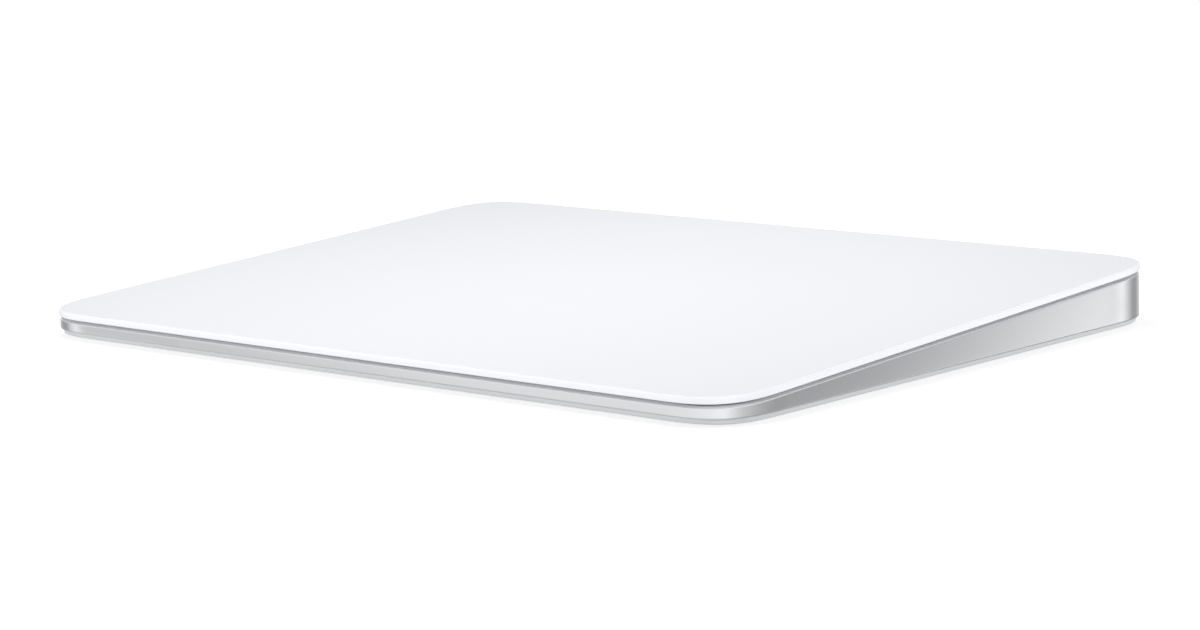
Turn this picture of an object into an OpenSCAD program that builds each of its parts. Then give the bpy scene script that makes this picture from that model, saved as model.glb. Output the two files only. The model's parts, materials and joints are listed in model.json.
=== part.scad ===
// Cordless desk trackpad: a white glass touch plate that floats on four leaf springs over a wedge
// housing, with a haptic actuator, a battery, a main board, a charging port and a power switch.
// Millimetres. The origin is under the middle of the body, on the desk. +Y is the thick rear edge.

/* [Body] */
// Width, left to right
body_w = 160; // [150:1:175]
// Depth, front to rear
body_d = 114.9; // [110:0.1:125]
// Height of the glass over the desk at the front edge
front_h = 4.9; // [4.8:0.1:5.4]
// Height of the glass over the desk at the rear edge
rear_h = 10.9; // [10.6:0.1:12.4]
// Radius of the corners, seen from above
corner_r = 9.5; // [8:0.5:12]

/* [Touch plate] */
// Thickness of the glass
glass_t = 1.2; // [1:0.05:1.4]
// Radius of the glass's upper edge
glass_edge_r = 0.45; // [0.2:0.05:0.7]
// Radius of the glass's lower edge
glass_under_r = 0.15; // [0.1:0.05:0.25]
// Thickness of the adhesive film under the glass
bond_t = 0.1; // [0.05:0.05:0.2]
// Thickness of the touch sensor board
sensor_t = 0.4; // [0.3:0.05:0.6]
// Thickness of the steel stiffener under the sensor board
stiffener_t = 0.3; // [0.2:0.05:0.4]
// Gap between the edge of the sensor board and the wall around it
plate_gap = 0.8; // [0.5:0.1:1.5]
// Shadow gap between the glass and the rim of the housing
rim_gap = 0.5; // [0.4:0.05:0.8]
// Travel of the glass when it is pressed down
press_travel = 0.2; // [0.1:0.05:0.25]
// Travel of the glass to each side when the actuator clicks
click_travel = 0.15; // [0.05:0.05:0.2]

/* [Housing] */
// Thickness of the outer wall
wall_t = 1.8; // [1.5:0.1:2.5]
// Distance of the wall's face behind the edge of the glass
rim_inset = 0.15; // [0.1:0.05:0.3]
// Chamfer on the upper edge of the wall
rim_chamfer = 0.3; // [0.2:0.05:0.45]
// Radius of the lower edge of the wall
wall_edge_r = 0.3; // [0.2:0.05:0.5]
// Height of the wall's lower edge over the desk
wall_lift = 1.5; // [1.4:0.05:1.7]
// Thickness of the web under the touch plate
web_t = 0.8; // [0.6:0.05:0.9]
// Thickness of the rear wall at the port and the switch
rear_wall_t = 3.3; // [3:0.1:4]
// Width of the ledge between the outer wall and the bay
bay_ledge = 4; // [3:0.5:6]
// Radius of the bay's corners
bay_r = 4; // [2:0.5:6]

/* [Underside] */
// Thickness of the bottom cover under the bay
cover_t = 0.6; // [0.5:0.05:0.7]
// Height of the raised border around the cover's inner face
cover_rim_h = 0.3; // [0.2:0.05:0.4]
// Distance of the cover's edge behind the wall's face
cover_inset = 0.6; // [0.4:0.05:1]
// Radius of the cover's lower edge
cover_edge_r = 0.25; // [0.15:0.05:0.4]
// Depth of the cover's seat over the lower edge of the wall
cover_seat = 0.15; // [0.15:0.05:0.3]
// Thickness of the adhesive between the cover and the housing
cover_glue_t = 0.1; // [0.05:0.05:0.15]
// Distance of that adhesive from the cover's edge and from the bay
cover_glue_inset = 0.5; // [0.3:0.1:1]
// Radius of a rubber foot
foot_r = 5; // [3:0.5:7]
// Depth of a foot's seat in the cover
foot_seat = 0.15; // [0.1:0.05:0.25]
// Radius of a foot's lower edge
foot_edge_r = 0.25; // [0.1:0.05:0.35]
// Distance of a foot's middle from the body's edge
foot_margin = 14; // [10:1:20]

/* [Press stage] */
// Thickness of a leaf spring
leaf_t = 0.3; // [0.2:0.05:0.35]
// Length of a leaf spring
leaf_l = 18; // [16:0.5:22]
// Width of a leaf spring
leaf_w = 7; // [6:0.5:9]
// Length of the clamped root of a leaf spring
root_l = 7.5; // [7:0.5:8.5]
// Distance from the pocket's side wall to the root of a leaf spring
leaf_margin_x = 7; // [5:0.5:10]
// Distance from the pocket's front or rear wall to the middle of a leaf spring
leaf_margin_y = 15; // [12:0.5:18]
// Thickness of a gel pad
gel_t = 0.25; // [0.2:0.05:0.35]
// Length of a gel pad
gel_l = 5; // [4:0.5:6]
// Thickness of a strain gauge
gauge_t = 0.08; // [0.05:0.01:0.1]
// Length of a strain gauge
gauge_l = 2; // [1.5:0.5:2.5]

/* [Haptic actuator] */
// Length of the actuator's pan
pan_w = 60; // [54:1:66]
// Depth of the actuator's pan, with its rims
pan_d = 24; // [23:0.5:26]
// Depth of the pan's floor under its rims
pan_sink = 1; // [0.8:0.05:1.1]
// Thickness of the pan's sheet
pan_t = 0.4; // [0.3:0.05:0.5]
// Width of the pan's rims
pan_rim = 3.5; // [3:0.25:4]
// Length of the attractor bar, side to side
bar_w = 9; // [7:0.5:11]
// Gap left between the attractor bar and a core at the end of a click
pole_gap = 0.35; // [0.25:0.05:0.6]
// Gap between a core and the end of the pan
core_end_gap = 1.5; // [1:0.1:2.5]
// Depth of a core
core_d = 14; // [13:0.5:15]
// Width of a core's middle leg
core_leg = 4; // [3:0.5:5]
// Width of a core's outer legs
core_side = 1.5; // [1:0.25:2]
// Thickness of a coil's winding
coil_t = 0.5; // [0.4:0.05:0.6]
// Length of a coil
coil_l = 12; // [9:0.5:13]

/* [Battery] */
// Thickness of the battery cell
cell_t = 3; // [2.5:0.1:3.3]
// Radius of the cell's edges
cell_edge_r = 0.7; // [0.4:0.1:1]
// Radius of the cell's corners
cell_r = 3; // [2:0.5:5]
// Free room at the left end of the cell
cell_end_room = 10; // [6:1:20]
// Thickness of the adhesive strips over the cell
cell_glue_t = 0.1; // [0.05:0.05:0.15]
// Width of an adhesive strip
cell_glue_w = 8; // [6:0.5:10]
// Width of the tab board at the cell's right end
tab_w = 4.5; // [4:0.25:5.5]
// Length of the tab board
tab_l = 22; // [16:1:26]
// Thickness of the tab board
tab_t = 0.8; // [0.6:0.1:1]

/* [Main board] */
// Width of the main board
board_w = 27; // [25:0.5:29]
// Length of the main board
board_l = 50; // [46:0.5:54]
// Thickness of the main board
board_t = 0.6; // [0.5:0.05:0.7]
// Height of the bosses that carry the board
board_boss_h = 1; // [0.9:0.05:1.1]
// Height of the chips and the upper connectors on the board
chip_h = 0.6; // [0.4:0.05:0.7]
// Height of the shield can under the board
shield_h = 1.2; // [1:0.05:1.3]
// Sheet thickness of the shield can
shield_t = 0.15; // [0.1:0.05:0.2]
// Width of the shield can
shield_w = 18; // [14:0.5:19]
// Length of the shield can
shield_l = 16; // [12:0.5:18]
// Thickness of the flat cables
flex_t = 0.12; // [0.1:0.01:0.15]
// Width of the flat cables
flex_w = 4; // [3:0.5:5]

/* [Charging port] */
// Outer width of the port's shell
port_w = 8.94; // [8.9:0.01:9]
// Outer height of the port's shell
port_h = 3.26; // [3.2:0.01:3.3]
// Sheet thickness of the port's shell
port_shell_t = 0.3; // [0.25:0.05:0.35]
// Depth of the port's shell
port_l = 7.3; // [7:0.1:7.6]
// Height of the port's middle over the desk
port_z = 4.9; // [4.7:0.1:5]
// Distance of the port's mouth behind the rear face
port_recess = 0.3; // [0.1:0.05:0.6]
// Gap between the port's shell and its opening
port_gap = 0.1; // [0.05:0.05:0.2]
// Width of the tongue
tongue_w = 6.69; // [6.6:0.01:6.8]
// Thickness of the tongue
tongue_t = 0.7; // [0.6:0.05:0.8]
// Distance of the tongue's tip behind the mouth
tongue_recess = 0.8; // [0.5:0.1:1.2]
// Spacing of the contacts
contact_pitch = 0.5; // [0.45:0.01:0.52]
// Contacts on each face of the tongue
contact_count = 12; // [8:1:12]

/* [Power switch] */
// Distance of the switch from the middle, to the left
switch_off = 30; // [24:1:40]
// Travel of the switch knob
switch_travel = 2; // [1.5:0.1:2.5]
// Length of the knob
knob_l = 4.5; // [4:0.1:5.5]
// Height of the knob
knob_h = 2; // [1.6:0.1:2.4]
// Gap between the knob and its slot
knob_gap = 0.2; // [0.15:0.05:0.3]
// Depth of the slot in the rear face
slot_depth = 1.3; // [1:0.1:1.6]
// How far the knob stands out of the rear face
knob_proud = 0.1; // [0:0.05:0.15]
// Grooves across the knob
knob_grooves = 3; // [1:1:4]
// Thickness of the indicator plate behind the knob
indicator_t = 0.3; // [0.2:0.05:0.4]
// Depth of the switch body
switch_d = 3.5; // [3:0.1:4]

/* [Antenna] */
// Depth of the antenna's carrier, front to rear
antenna_d = 8; // [6:0.5:10]
// Distance of the carrier from the rear wall of the bay
antenna_gap = 2.5; // [2:0.5:4]

/* [Hidden] */
$fn = 64;

// Clearances
fit_gap = 0.1;
cover_clear = 0.3;
stop_gap = 0.1;
winding_play = 0.04;
cell_gap = 0.9;
board_gap = 3;
board_side_gap = 1;
// How far a cutter reaches past the face that it opens
cut = 1;

// Screws
screw_r = 0.5;
screw_head_r = 1.1;
screw_head_h = 0.3;
screw_play = 0.04;
boss_r = 1.7;

// The tilted top plane
tilt = atan((rear_h - front_h) / body_d);
mid_h = (front_h + rear_h) / 2;
deck_d = body_d / cos(tilt);

// Depths under the top of the glass, square to it
rim_top = glass_t + rim_gap;
sensor_top = glass_t + bond_t;
stiffener_top = sensor_top + sensor_t;
gel_top = stiffener_top + stiffener_t;
leaf_top = gel_top + gel_t;
leaf_under = leaf_top + leaf_t;
web_top = leaf_under + press_travel + stop_gap;
web_under = web_top + web_t;
pan_floor = web_under + pan_sink;
pan_under = pan_floor + pan_t;
core_top = gel_top + press_travel + 3 * stop_gap;
bar_under = pan_floor - press_travel - 2 * stop_gap;
board_top = web_under + board_boss_h;
board_under = board_top + board_t;
chip_top = board_top - chip_h;
cell_top = web_under + cell_glue_t;
cell_under = cell_top + cell_t;

// Heights over the desk
cover_top = wall_lift + cover_seat - cover_glue_t;
cover_floor = cover_top - cover_rim_h;
cover_under = cover_floor - cover_t;

// Where a piece that reaches this deep under the glass still clears the cover, and the other way round
function clear_y(depth) = (cover_floor + cover_clear - mid_h + depth * cos(tilt)) / sin(tilt);
function clear_depth(y) = (mid_h + y * sin(tilt) - cover_floor - cover_clear) / cos(tilt);
// Depth under the glass of a point at this height over the desk
function depth_at(y, z) = (mid_h + y * sin(tilt) - z) / cos(tilt);
// Place along the top plane of an upright face, at this depth under the glass
function deck_y(y, depth) = (y - depth * sin(tilt)) / cos(tilt);

// Outlines
flank = 3;
opening_r = 1.5;
wall_w = body_w - 2 * rim_inset;
wall_d = body_d - 2 * rim_inset;
wall_r = corner_r - rim_inset;
pocket_w = wall_w - 2 * wall_t;
pocket_d = wall_d - 2 * wall_t;
pocket_r = wall_r - wall_t;
plate_w = pocket_w - 2 * plate_gap;
plate_d = pocket_d - 2 * plate_gap;
plate_r = pocket_r - plate_gap;
cover_w = wall_w - 2 * cover_inset;
cover_d = wall_d - 2 * cover_inset;
cover_r = wall_r - cover_inset;
bay_half = pocket_w / 2 - bay_ledge;
rear_face = wall_d / 2;
bay_rear = rear_face - rear_wall_t;

// Leaf springs
leaf_x1 = pocket_w / 2 - leaf_margin_x;
leaf_x0 = leaf_x1 - leaf_l;
leaf_y = pocket_d / 2 - leaf_margin_y;
root_x = leaf_x1 - root_l / 2;
root_screw = 2;
leaf_head_h = gel_t + stiffener_t - press_travel - stop_gap;
neck_cut = 1.4;
gel_end_gap = 0.5;
gel_x = leaf_x0 + gel_end_gap + gel_l / 2;
gauge_end_gap = 0.3;
gauge_x = leaf_x1 - root_l - gauge_end_gap - gauge_l / 2;
window_gap = 1;
gauge_w = 2.6;
gel_margin = 1;
root_grip = 0.5;

// Haptic actuator
haptic_y = clear_y(pan_under) + pan_d / 2;
cave_w = pan_w - 2 * pan_rim;
cave_d = pan_d - 2 * pan_rim;
pan_screw = [(pan_w - pan_rim) / 2, (pan_d - pan_rim) / 2];
core_x0 = bar_w / 2 + click_travel + pole_gap;
core_l = cave_w / 2 - core_end_gap - core_x0;
core_back = 3;
coil_room = 0.6;
coil_side = core_d / 2 - core_side - core_leg / 2 - coil_room;
coil_r = 0.4;
bay_front_gap = 2;
bay_front = haptic_y - pan_d / 2 - bay_front_gap;

// Charging port
port_mouth = rear_face - port_recess;
port_back = port_mouth - port_l;
port_under = port_z - port_h / 2;
insulator_l = 2;
tail_l = 3;
tail_t = 0.6;
strap_w = 22;
strap_t = 0.4;
strap_in = 2.4;
strap_y = port_back + strap_in;
strap_d = 3.6;
strap_screw = 8.6;
strap_grip = 2.2;
contact_w = 0.25;
contact_t = 0.05;
contact_l = 3.2;
contact_in = 0.3;

// Main board
board_x1 = bay_half - board_side_gap;
board_x0 = board_x1 - board_w;
board_x = (board_x0 + board_x1) / 2;
board_y0 = clear_y(board_under + screw_head_h);
board_y1 = board_y0 + board_l;
board_screw = [2.5, 3];
shield_y0 = clear_y(board_under + shield_h);
shield_r = 1;
vent_r = 0.5;
vent_pitch = 2.6;
vent_rows = 4;
conn_margin = 0.5;
conn_l = 3.5;
rear_conn_in = 2;
slot_w = 14;
slot_d = 10;
slot_x0 = board_x - slot_w / 2;
slot_in = 5;
slot_y0 = board_y0 + slot_in;
slot_y1 = slot_y0 + slot_d;
link_w = 8;
link_d = 3;
link_h = 0.6;
link_bend = 0.5;
link_in = 1;
link_y = slot_y1 - link_in - link_d / 2;
board_link_y = slot_y0 + link_in + link_d / 2;
link_flex_w = 7;
link_under = stiffener_top + link_h;
chip_l = 6;
chip_w = 4;
chip_gap = 2;
chip_rows = 3;
chip_pitch = (board_y1 - 2 * board_screw.y - slot_y1) / chip_rows;
processor_w = 7;
memory_w = 5;
memory_l = 6;
memory_gap = 2;

// Battery
cell_x0 = -bay_half + cell_end_room;
cell_x1 = board_x0 - board_gap - tab_w;
cell_y0 = clear_y(cell_under);
cell_y1 = port_back - tail_l - cell_gap;
tab_in = 1;
tab_y = cell_y0 + tab_in + tab_l / 2;
tab_top = chip_top + chip_h / 2 + flex_t;

// Flat cables behind the battery
rear_flex_y0 = port_back - tail_l;
rear_flex_gap = 0.5;
rear_flex_y1 = port_back - rear_flex_gap;
rear_flex_top = depth_at(rear_flex_y1, port_z - tail_t / 2);
rear_flex_in = 9;
rear_flex_x = board_x0 + rear_flex_in;
rear_flex_part = 0.3;

// Power switch
switch_z = port_z;
switch_slot_l = knob_l + switch_travel + 2 * knob_gap;
switch_slot_h = knob_h + 2 * knob_gap;
slot_floor = rear_face - slot_depth;
switch_side = 1.1;
switch_lip = 0.7;
switch_w = switch_slot_l + 2 * switch_side;
switch_h = switch_slot_h + 2 * switch_lip;
stem_l = 1.2;
stem_h = 1;
stem_in = 1.6;
groove_r = 0.2;
groove_pitch = 0.8;
switch_front = slot_floor - indicator_t;
switch_back = switch_front - switch_d;

// Antenna
antenna_side_gap = 1.5;
antenna_x0 = rear_flex_x + flex_w / 2 + antenna_side_gap;
antenna_y1 = bay_rear - antenna_gap;
antenna_y0 = antenna_y1 - antenna_d;
antenna_wall = 1;
foil_t = 0.1;
foil_lap = 1.5;
antenna_under = clear_depth(antenna_y0) - foil_t;

// Force cable
force_gap = 1.5;
force_x = leaf_x0 - force_gap - flex_w / 2;
force_in = 2;
force_y = bay_front - force_in;
force_conn_w = 2.3;
force_conn_y = slot_y0 + link_in + flex_w / 2;
branch_w = 1.8;
branch_gap = 0.4;

// Places its children on the tilted top plane
module on_deck() {
  translate([0, 0, mid_h]) rotate([tilt, 0, 0]) children();
}

// A slab between two depths under the glass
module slab(top, under) {
  translate([0, 0, -under]) linear_extrude(under - top) children();
}

// A flat piece from one corner to the other, between two depths under the glass
module block(x0, x1, y0, y1, top, under) {
  translate([x0, y0, -under]) cube([x1 - x0, y1 - y0, under - top]);
}

// Place of one of a row's copies, in pitches from the middle of the row
function row_offset(i, count) = i - (count - 1) / 2;

// Copies at the four mirrored places of a point in the first quadrant
module at_corners(x, y) {
  for (sx = [-1, 1], sy = [-1, 1]) translate([sx * x, sy * y, 0]) children();
}

// Mirrored copies in all four quadrants
module in_quadrants() {
  for (mx = [0, 1], my = [0, 1]) mirror([mx, 0, 0]) mirror([0, my, 0]) children();
}

module rounded_rect(w, d, r) {
  square([w - 2 * r, d], center = true);
  square([w, d - 2 * r], center = true);
  at_corners(w / 2 - r, d / 2 - r) circle(r);
}

module stadium(w, h) {
  square([w - h, h], center = true);
  for (s = [-1, 1]) translate([s * (w - h) / 2, 0]) circle(h / 2);
}

// A plate from z0 to z1 whose edge follows a profile, drawn outwards from the middle of a corner
module profiled_plate(w, d, r, z0, z1) {
  half_w = w / 2 - r;
  half_d = d / 2 - r;
  for (turn = [0, 180]) rotate(turn) {
    translate([half_w, half_d, 0]) rotate_extrude(angle = 90) children();
    translate([half_w, -half_d, 0]) rotate(-90) rotate_extrude(angle = 90) children();
    translate([half_w, half_d, 0]) rotate([90, 0, 0]) linear_extrude(2 * half_d) children();
    translate([-half_w, half_d, 0]) rotate([90, 0, 90]) linear_extrude(2 * half_w) children();
  }
  translate([-half_w, -half_d, z0]) cube([2 * half_w, 2 * half_d, z1 - z0]);
}

// Edge of a plate from z = 0 up to z = t, with rounded lower and upper edges
module edge_profile(r, t, low_r, high_r) {
  translate([0, low_r]) square([r, t - low_r - high_r]);
  square([r - low_r, low_r]);
  translate([r - low_r, low_r]) circle(low_r);
  translate([0, t - high_r]) square([r - high_r, high_r]);
  translate([r - high_r, t - high_r]) circle(high_r);
}

// A screw that points up, with its head under z = 0
module screw(l, head_h) {
  difference() {
    union() {
      translate([0, 0, -head_h]) cylinder(r = screw_head_r, h = head_h);
      cylinder(r = screw_r, h = l);
    }
    translate([0, 0, -head_h - cut]) cylinder(r = screw_r, h = cut + head_h / 2, $fn = 6);
  }
}

// Edge of a plate from z = 0 up to z = t, with a rounded lower edge
module low_edge_profile(r, t, low_r) {
  translate([0, low_r]) square([r, t - low_r]);
  square([r - low_r, low_r]);
  translate([r - low_r, low_r]) circle(low_r);
}

// A quarter of a ring, between its first two axes
module quarter_ring(r, t) {
  intersection() {
    difference() {
      circle(r + t);
      circle(r);
    }
    square(r + 2 * t);
  }
}

// Touch plate

module glass_plate() {
  color([0.95, 0.95, 0.97]) on_deck() translate([0, 0, -glass_t])
    profiled_plate(body_w, deck_d, corner_r, 0, glass_t)
      edge_profile(corner_r, glass_t, glass_under_r, glass_edge_r);
}

module glass_bond() {
  color([0.85, 0.85, 0.8]) on_deck() slab(glass_t, sensor_top) rounded_rect(plate_w, plate_d, plate_r);
}

module sensor_board() {
  color([0.82, 0.83, 0.82]) on_deck() slab(sensor_top, stiffener_top) rounded_rect(plate_w, plate_d, plate_r);
}

module stiffener_plate() {
  color([0.62, 0.63, 0.64]) on_deck() slab(stiffener_top, gel_top) difference() {
    rounded_rect(plate_w, plate_d, plate_r);
    at_corners(root_x, leaf_y) rounded_rect(root_l + 2 * window_gap, leaf_w + 2 * window_gap, window_gap);
    translate([board_x, link_y]) rounded_rect(link_w + 2 * window_gap, link_d + 2 * window_gap, window_gap);
  }
}

module attractor_bar() {
  color([0.45, 0.46, 0.47]) on_deck() translate([0, haptic_y, 0])
    block(-bar_w / 2, bar_w / 2, -core_d / 2, core_d / 2, gel_top, bar_under);
}

module touch_connector() {
  color([0.12, 0.12, 0.12]) on_deck() translate([board_x, link_y, 0])
    block(-link_w / 2, link_w / 2, -link_d / 2, link_d / 2, stiffener_top, link_under);
}

// Press stage

module leaf_outline() {
  difference() {
    translate([leaf_x0, leaf_y - leaf_w / 2]) square([leaf_l, leaf_w]);
    for (s = [-1, 1]) translate([gauge_x, leaf_y + s * leaf_w / 2]) circle(neck_cut);
    for (s = [-1, 1]) translate([root_x + s * root_screw, leaf_y]) circle(screw_r + screw_play);
  }
}

module force_flexures() {
  color([0.7, 0.71, 0.72]) on_deck() in_quadrants() slab(leaf_top, leaf_under) leaf_outline();
}

module strain_gauges() {
  color([0.75, 0.5, 0.2]) on_deck() in_quadrants() translate([gauge_x, leaf_y, 0])
    block(-gauge_l / 2, gauge_l / 2, -gauge_w / 2, gauge_w / 2, leaf_top - gauge_t, leaf_top);
}

module gel_pads() {
  color([0.55, 0.6, 0.65]) on_deck() slab(gel_top, leaf_top)
    at_corners(gel_x, leaf_y) rounded_rect(gel_l, leaf_w - 2 * gel_margin, gel_margin);
}

// Housing

// The wedge: an upright wall cut by the tilted rim plane, with a chamfer along the cut
module wedge() {
  deep = rear_h + flank;
  rim_h = deep - rim_top;
  intersection() {
    translate([0, 0, wall_lift]) profiled_plate(wall_w, wall_d, wall_r, 0, rear_h)
      low_edge_profile(wall_r, rear_h, wall_edge_r);
    on_deck() translate([0, -rim_top * tan(tilt), -deep])
      profiled_plate(wall_w, wall_d / cos(tilt), wall_r, 0, rim_h)
        polygon([
          [0, 0], [wall_r + flank, 0], [wall_r + flank, rim_h - rim_chamfer - flank],
          [wall_r - rim_chamfer, rim_h], [0, rim_h]
        ]);
  }
}

// Room for the touch plate, over the web
module plate_pocket() {
  on_deck() translate([0, -(rim_top + web_top) / 2 * tan(tilt), 0])
    slab(-cut, web_top) rounded_rect(pocket_w, pocket_d, pocket_r);
}

module bay_outline(grow) {
  translate([0, (bay_front + bay_rear) / 2])
    rounded_rect(2 * bay_half + 2 * grow, bay_rear - bay_front + 2 * grow, bay_r + grow);
}

// Room for the battery and the boards, under the web
module bay() {
  intersection() {
    translate([0, 0, -cut]) linear_extrude(rear_h + cut) bay_outline(0);
    on_deck() block(-body_w, body_w, -body_d, body_d, web_under, rear_h + flank);
  }
}

module web_openings() {
  on_deck() slab(web_top - cut, web_under + cut) {
    translate([0, haptic_y]) rounded_rect(cave_w, cave_d, opening_r);
    translate([board_x, (slot_y0 + slot_y1) / 2]) rounded_rect(slot_w, slot_d, opening_r);
    translate([0, haptic_y]) at_corners(pan_screw.x, pan_screw.y) circle(screw_r + screw_play);
  }
}

module at_board_screws() {
  for (x = [board_x0 + board_screw.x, board_x1 - board_screw.x])
    for (y = [board_y0 + board_screw.y, board_y1 - board_screw.y])
      translate([x, y, 0]) children();
}

module at_root_screws() {
  in_quadrants() for (s = [-1, 1]) translate([root_x + s * root_screw, leaf_y, 0]) children();
}

module at_strap_screws() {
  for (s = [-1, 1]) translate([s * strap_screw, strap_y, port_under]) children();
}

module bosses() {
  web_mid = web_top + web_t / 2;
  on_deck() at_board_screws() translate([0, 0, -board_top]) cylinder(r = boss_r, h = board_top - web_mid);
  on_deck() in_quadrants()
    block(leaf_x1 - root_l, leaf_x1, leaf_y - leaf_w / 2, leaf_y + leaf_w / 2, leaf_under, web_mid);
  at_strap_screws() cylinder(r = boss_r, h = mid_h + strap_y * sin(tilt) - web_mid * cos(tilt) - port_under);
}

module boss_holes() {
  hole_r = screw_r + screw_play;
  on_deck() at_board_screws() translate([0, 0, -board_top - cut])
    cylinder(r = hole_r, h = cut + board_boss_h - stop_gap);
  on_deck() at_root_screws() translate([0, 0, -web_top - root_grip - stop_gap])
    cylinder(r = hole_r, h = web_top - leaf_under + root_grip + stop_gap + cut);
  at_strap_screws() translate([0, 0, -cut]) cylinder(r = hole_r, h = cut + strap_grip + stop_gap);
}

// An opening along Y through the rear wall, from the rear face in to a depth
module rear_cut(x, z, depth) {
  translate([x, rear_face + cut, z]) rotate([90, 0, 0]) linear_extrude(depth + cut) children();
}

module switch_seat() {
  translate([-switch_off, (bay_rear - cut + slot_floor) / 2, switch_z])
    cube([switch_w + 2 * fit_gap, slot_floor - bay_rear + cut, switch_h + 2 * fit_gap], center = true);
}

module housing() {
  color([0.8, 0.81, 0.82]) difference() {
    union() {
      difference() {
        wedge();
        plate_pocket();
        bay();
      }
      bosses();
    }
    translate([0, 0, -cut]) linear_extrude(cut + wall_lift + cover_seat)
      rounded_rect(cover_w + 2 * fit_gap, cover_d + 2 * fit_gap, cover_r + fit_gap);
    web_openings();
    boss_holes();
    rear_cut(0, port_z, rear_wall_t + cut) stadium(port_w + 2 * port_gap, port_h + 2 * port_gap);
    rear_cut(-switch_off, switch_z, slot_depth + cut) stadium(switch_slot_l, switch_slot_h);
    switch_seat();
  }
}

// Underside

module at_feet() {
  at_corners(body_w / 2 - foot_margin, body_d / 2 - foot_margin) children();
}

module bottom_cover() {
  color([0.86, 0.87, 0.88]) difference() {
    translate([0, 0, cover_under]) profiled_plate(cover_w, cover_d, cover_r, 0, cover_t + cover_rim_h)
      low_edge_profile(cover_r, cover_t + cover_rim_h, cover_edge_r);
    translate([0, 0, cover_floor]) linear_extrude(cover_rim_h + cut) bay_outline(0);
    at_feet() translate([0, 0, cover_under - cut]) cylinder(r = foot_r + fit_gap, h = cut + foot_seat);
  }
}

module cover_adhesive() {
  color([0.25, 0.25, 0.26]) translate([0, 0, cover_top]) linear_extrude(cover_glue_t) difference() {
    rounded_rect(cover_w - 2 * cover_glue_inset, cover_d - 2 * cover_glue_inset, cover_r - cover_glue_inset);
    bay_outline(cover_glue_inset);
  }
}

module rubber_feet() {
  foot_h = cover_under + foot_seat;
  color([0.82, 0.83, 0.84]) at_feet() rotate_extrude() low_edge_profile(foot_r, foot_h, foot_edge_r);
}

module flexure_screws() {
  screw_l = leaf_t + web_top - leaf_under + root_grip;
  color([0.55, 0.56, 0.57]) on_deck() at_root_screws() translate([0, 0, -leaf_top])
    mirror([0, 0, 1]) screw(screw_l, leaf_head_h);
}

// Flat cable of the strain gauges: a frame on the web, with a branch to each leaf spring
module force_flex_cable() {
  drop_x = slot_x0 + fit_gap;
  color([0.72, 0.45, 0.15]) on_deck() {
    slab(web_top - flex_t, web_top) {
      for (s = [-1, 1]) translate([s * force_x, 0]) square([flex_w, 2 * leaf_y], center = true);
      in_quadrants() translate([force_x, leaf_y - leaf_w / 2 - branch_gap - branch_w])
        square([gauge_x - force_x, branch_w]);
      translate([0, force_y]) square([2 * force_x, flex_w], center = true);
      translate([force_x, force_conn_y - flex_w / 2]) square([drop_x + flex_t - force_x, flex_w]);
    }
    translate([0, force_conn_y, 0])
      block(drop_x, drop_x + flex_t, -flex_w / 2, flex_w / 2, web_top - flex_t, chip_top);
  }
}

// Haptic actuator

module haptic_bracket() {
  color([0.66, 0.67, 0.68]) on_deck() translate([0, haptic_y, 0]) difference() {
    union() {
      slab(web_under, web_under + pan_t) rounded_rect(pan_w, pan_d, opening_r);
      slab(web_under, pan_under) rounded_rect(cave_w + 2 * pan_t, cave_d + 2 * pan_t, opening_r + pan_t);
    }
    slab(web_under - cut, pan_floor) rounded_rect(cave_w, cave_d, opening_r);
    slab(web_under - cut, web_under + pan_t + cut)
      at_corners(pan_screw.x, pan_screw.y) circle(screw_r + screw_play);
  }
}

module haptic_cores() {
  color([0.4, 0.41, 0.43]) on_deck() translate([0, haptic_y, 0]) for (turn = [0, 180]) rotate(turn) {
    slab(core_top, pan_floor) difference() {
      translate([core_x0, -core_d / 2]) square([core_l, core_d]);
      translate([core_x0 - cut, core_side - core_d / 2])
        square([core_l - core_back + cut, core_d - 2 * core_side]);
    }
    block(core_x0, core_x0 + core_l - core_back / 2, -core_leg / 2, core_leg / 2,
      core_top + coil_t, pan_floor - coil_t);
  }
}

module haptic_coils() {
  coil_h = pan_floor - core_top;
  coil_x = core_x0 + (core_l - core_back - coil_l) / 2;
  color([0.75, 0.4, 0.18]) on_deck() translate([0, haptic_y, 0]) for (turn = [0, 180]) rotate(turn)
    translate([coil_x, 0, -core_top - coil_h / 2]) rotate([90, 0, 90]) linear_extrude(coil_l) difference() {
      rounded_rect(core_leg + 2 * coil_side, coil_h, coil_r);
      square([core_leg + 2 * winding_play, coil_h - 2 * coil_t + 2 * winding_play], center = true);
    }
}

module haptic_screws() {
  color([0.55, 0.56, 0.57]) on_deck() translate([0, haptic_y, -web_under - pan_t])
    at_corners(pan_screw.x, pan_screw.y) screw(pan_t + web_t - stop_gap, screw_head_h);
}

// Main board

module main_board() {
  color([0.05, 0.2, 0.12]) on_deck() slab(board_top, board_under) difference() {
    translate([board_x, (board_y0 + board_y1) / 2]) rounded_rect(board_w, board_l, opening_r);
    at_board_screws() circle(screw_r + screw_play);
  }
}

module shield_can() {
  color([0.75, 0.75, 0.74]) on_deck() translate([board_x, shield_y0 + shield_l / 2, 0]) difference() {
    slab(board_under, board_under + shield_h) rounded_rect(shield_w, shield_l, shield_r);
    slab(board_under - cut, board_under + shield_h - shield_t)
      rounded_rect(shield_w - 2 * shield_t, shield_l - 2 * shield_t, shield_r - shield_t);
    slab(board_under, board_under + shield_h + cut)
      for (i = [0:vent_rows - 1], j = [0:vent_rows - 1])
        translate([row_offset(i, vent_rows), row_offset(j, vent_rows)] * vent_pitch) circle(vent_r);
  }
}

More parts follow.
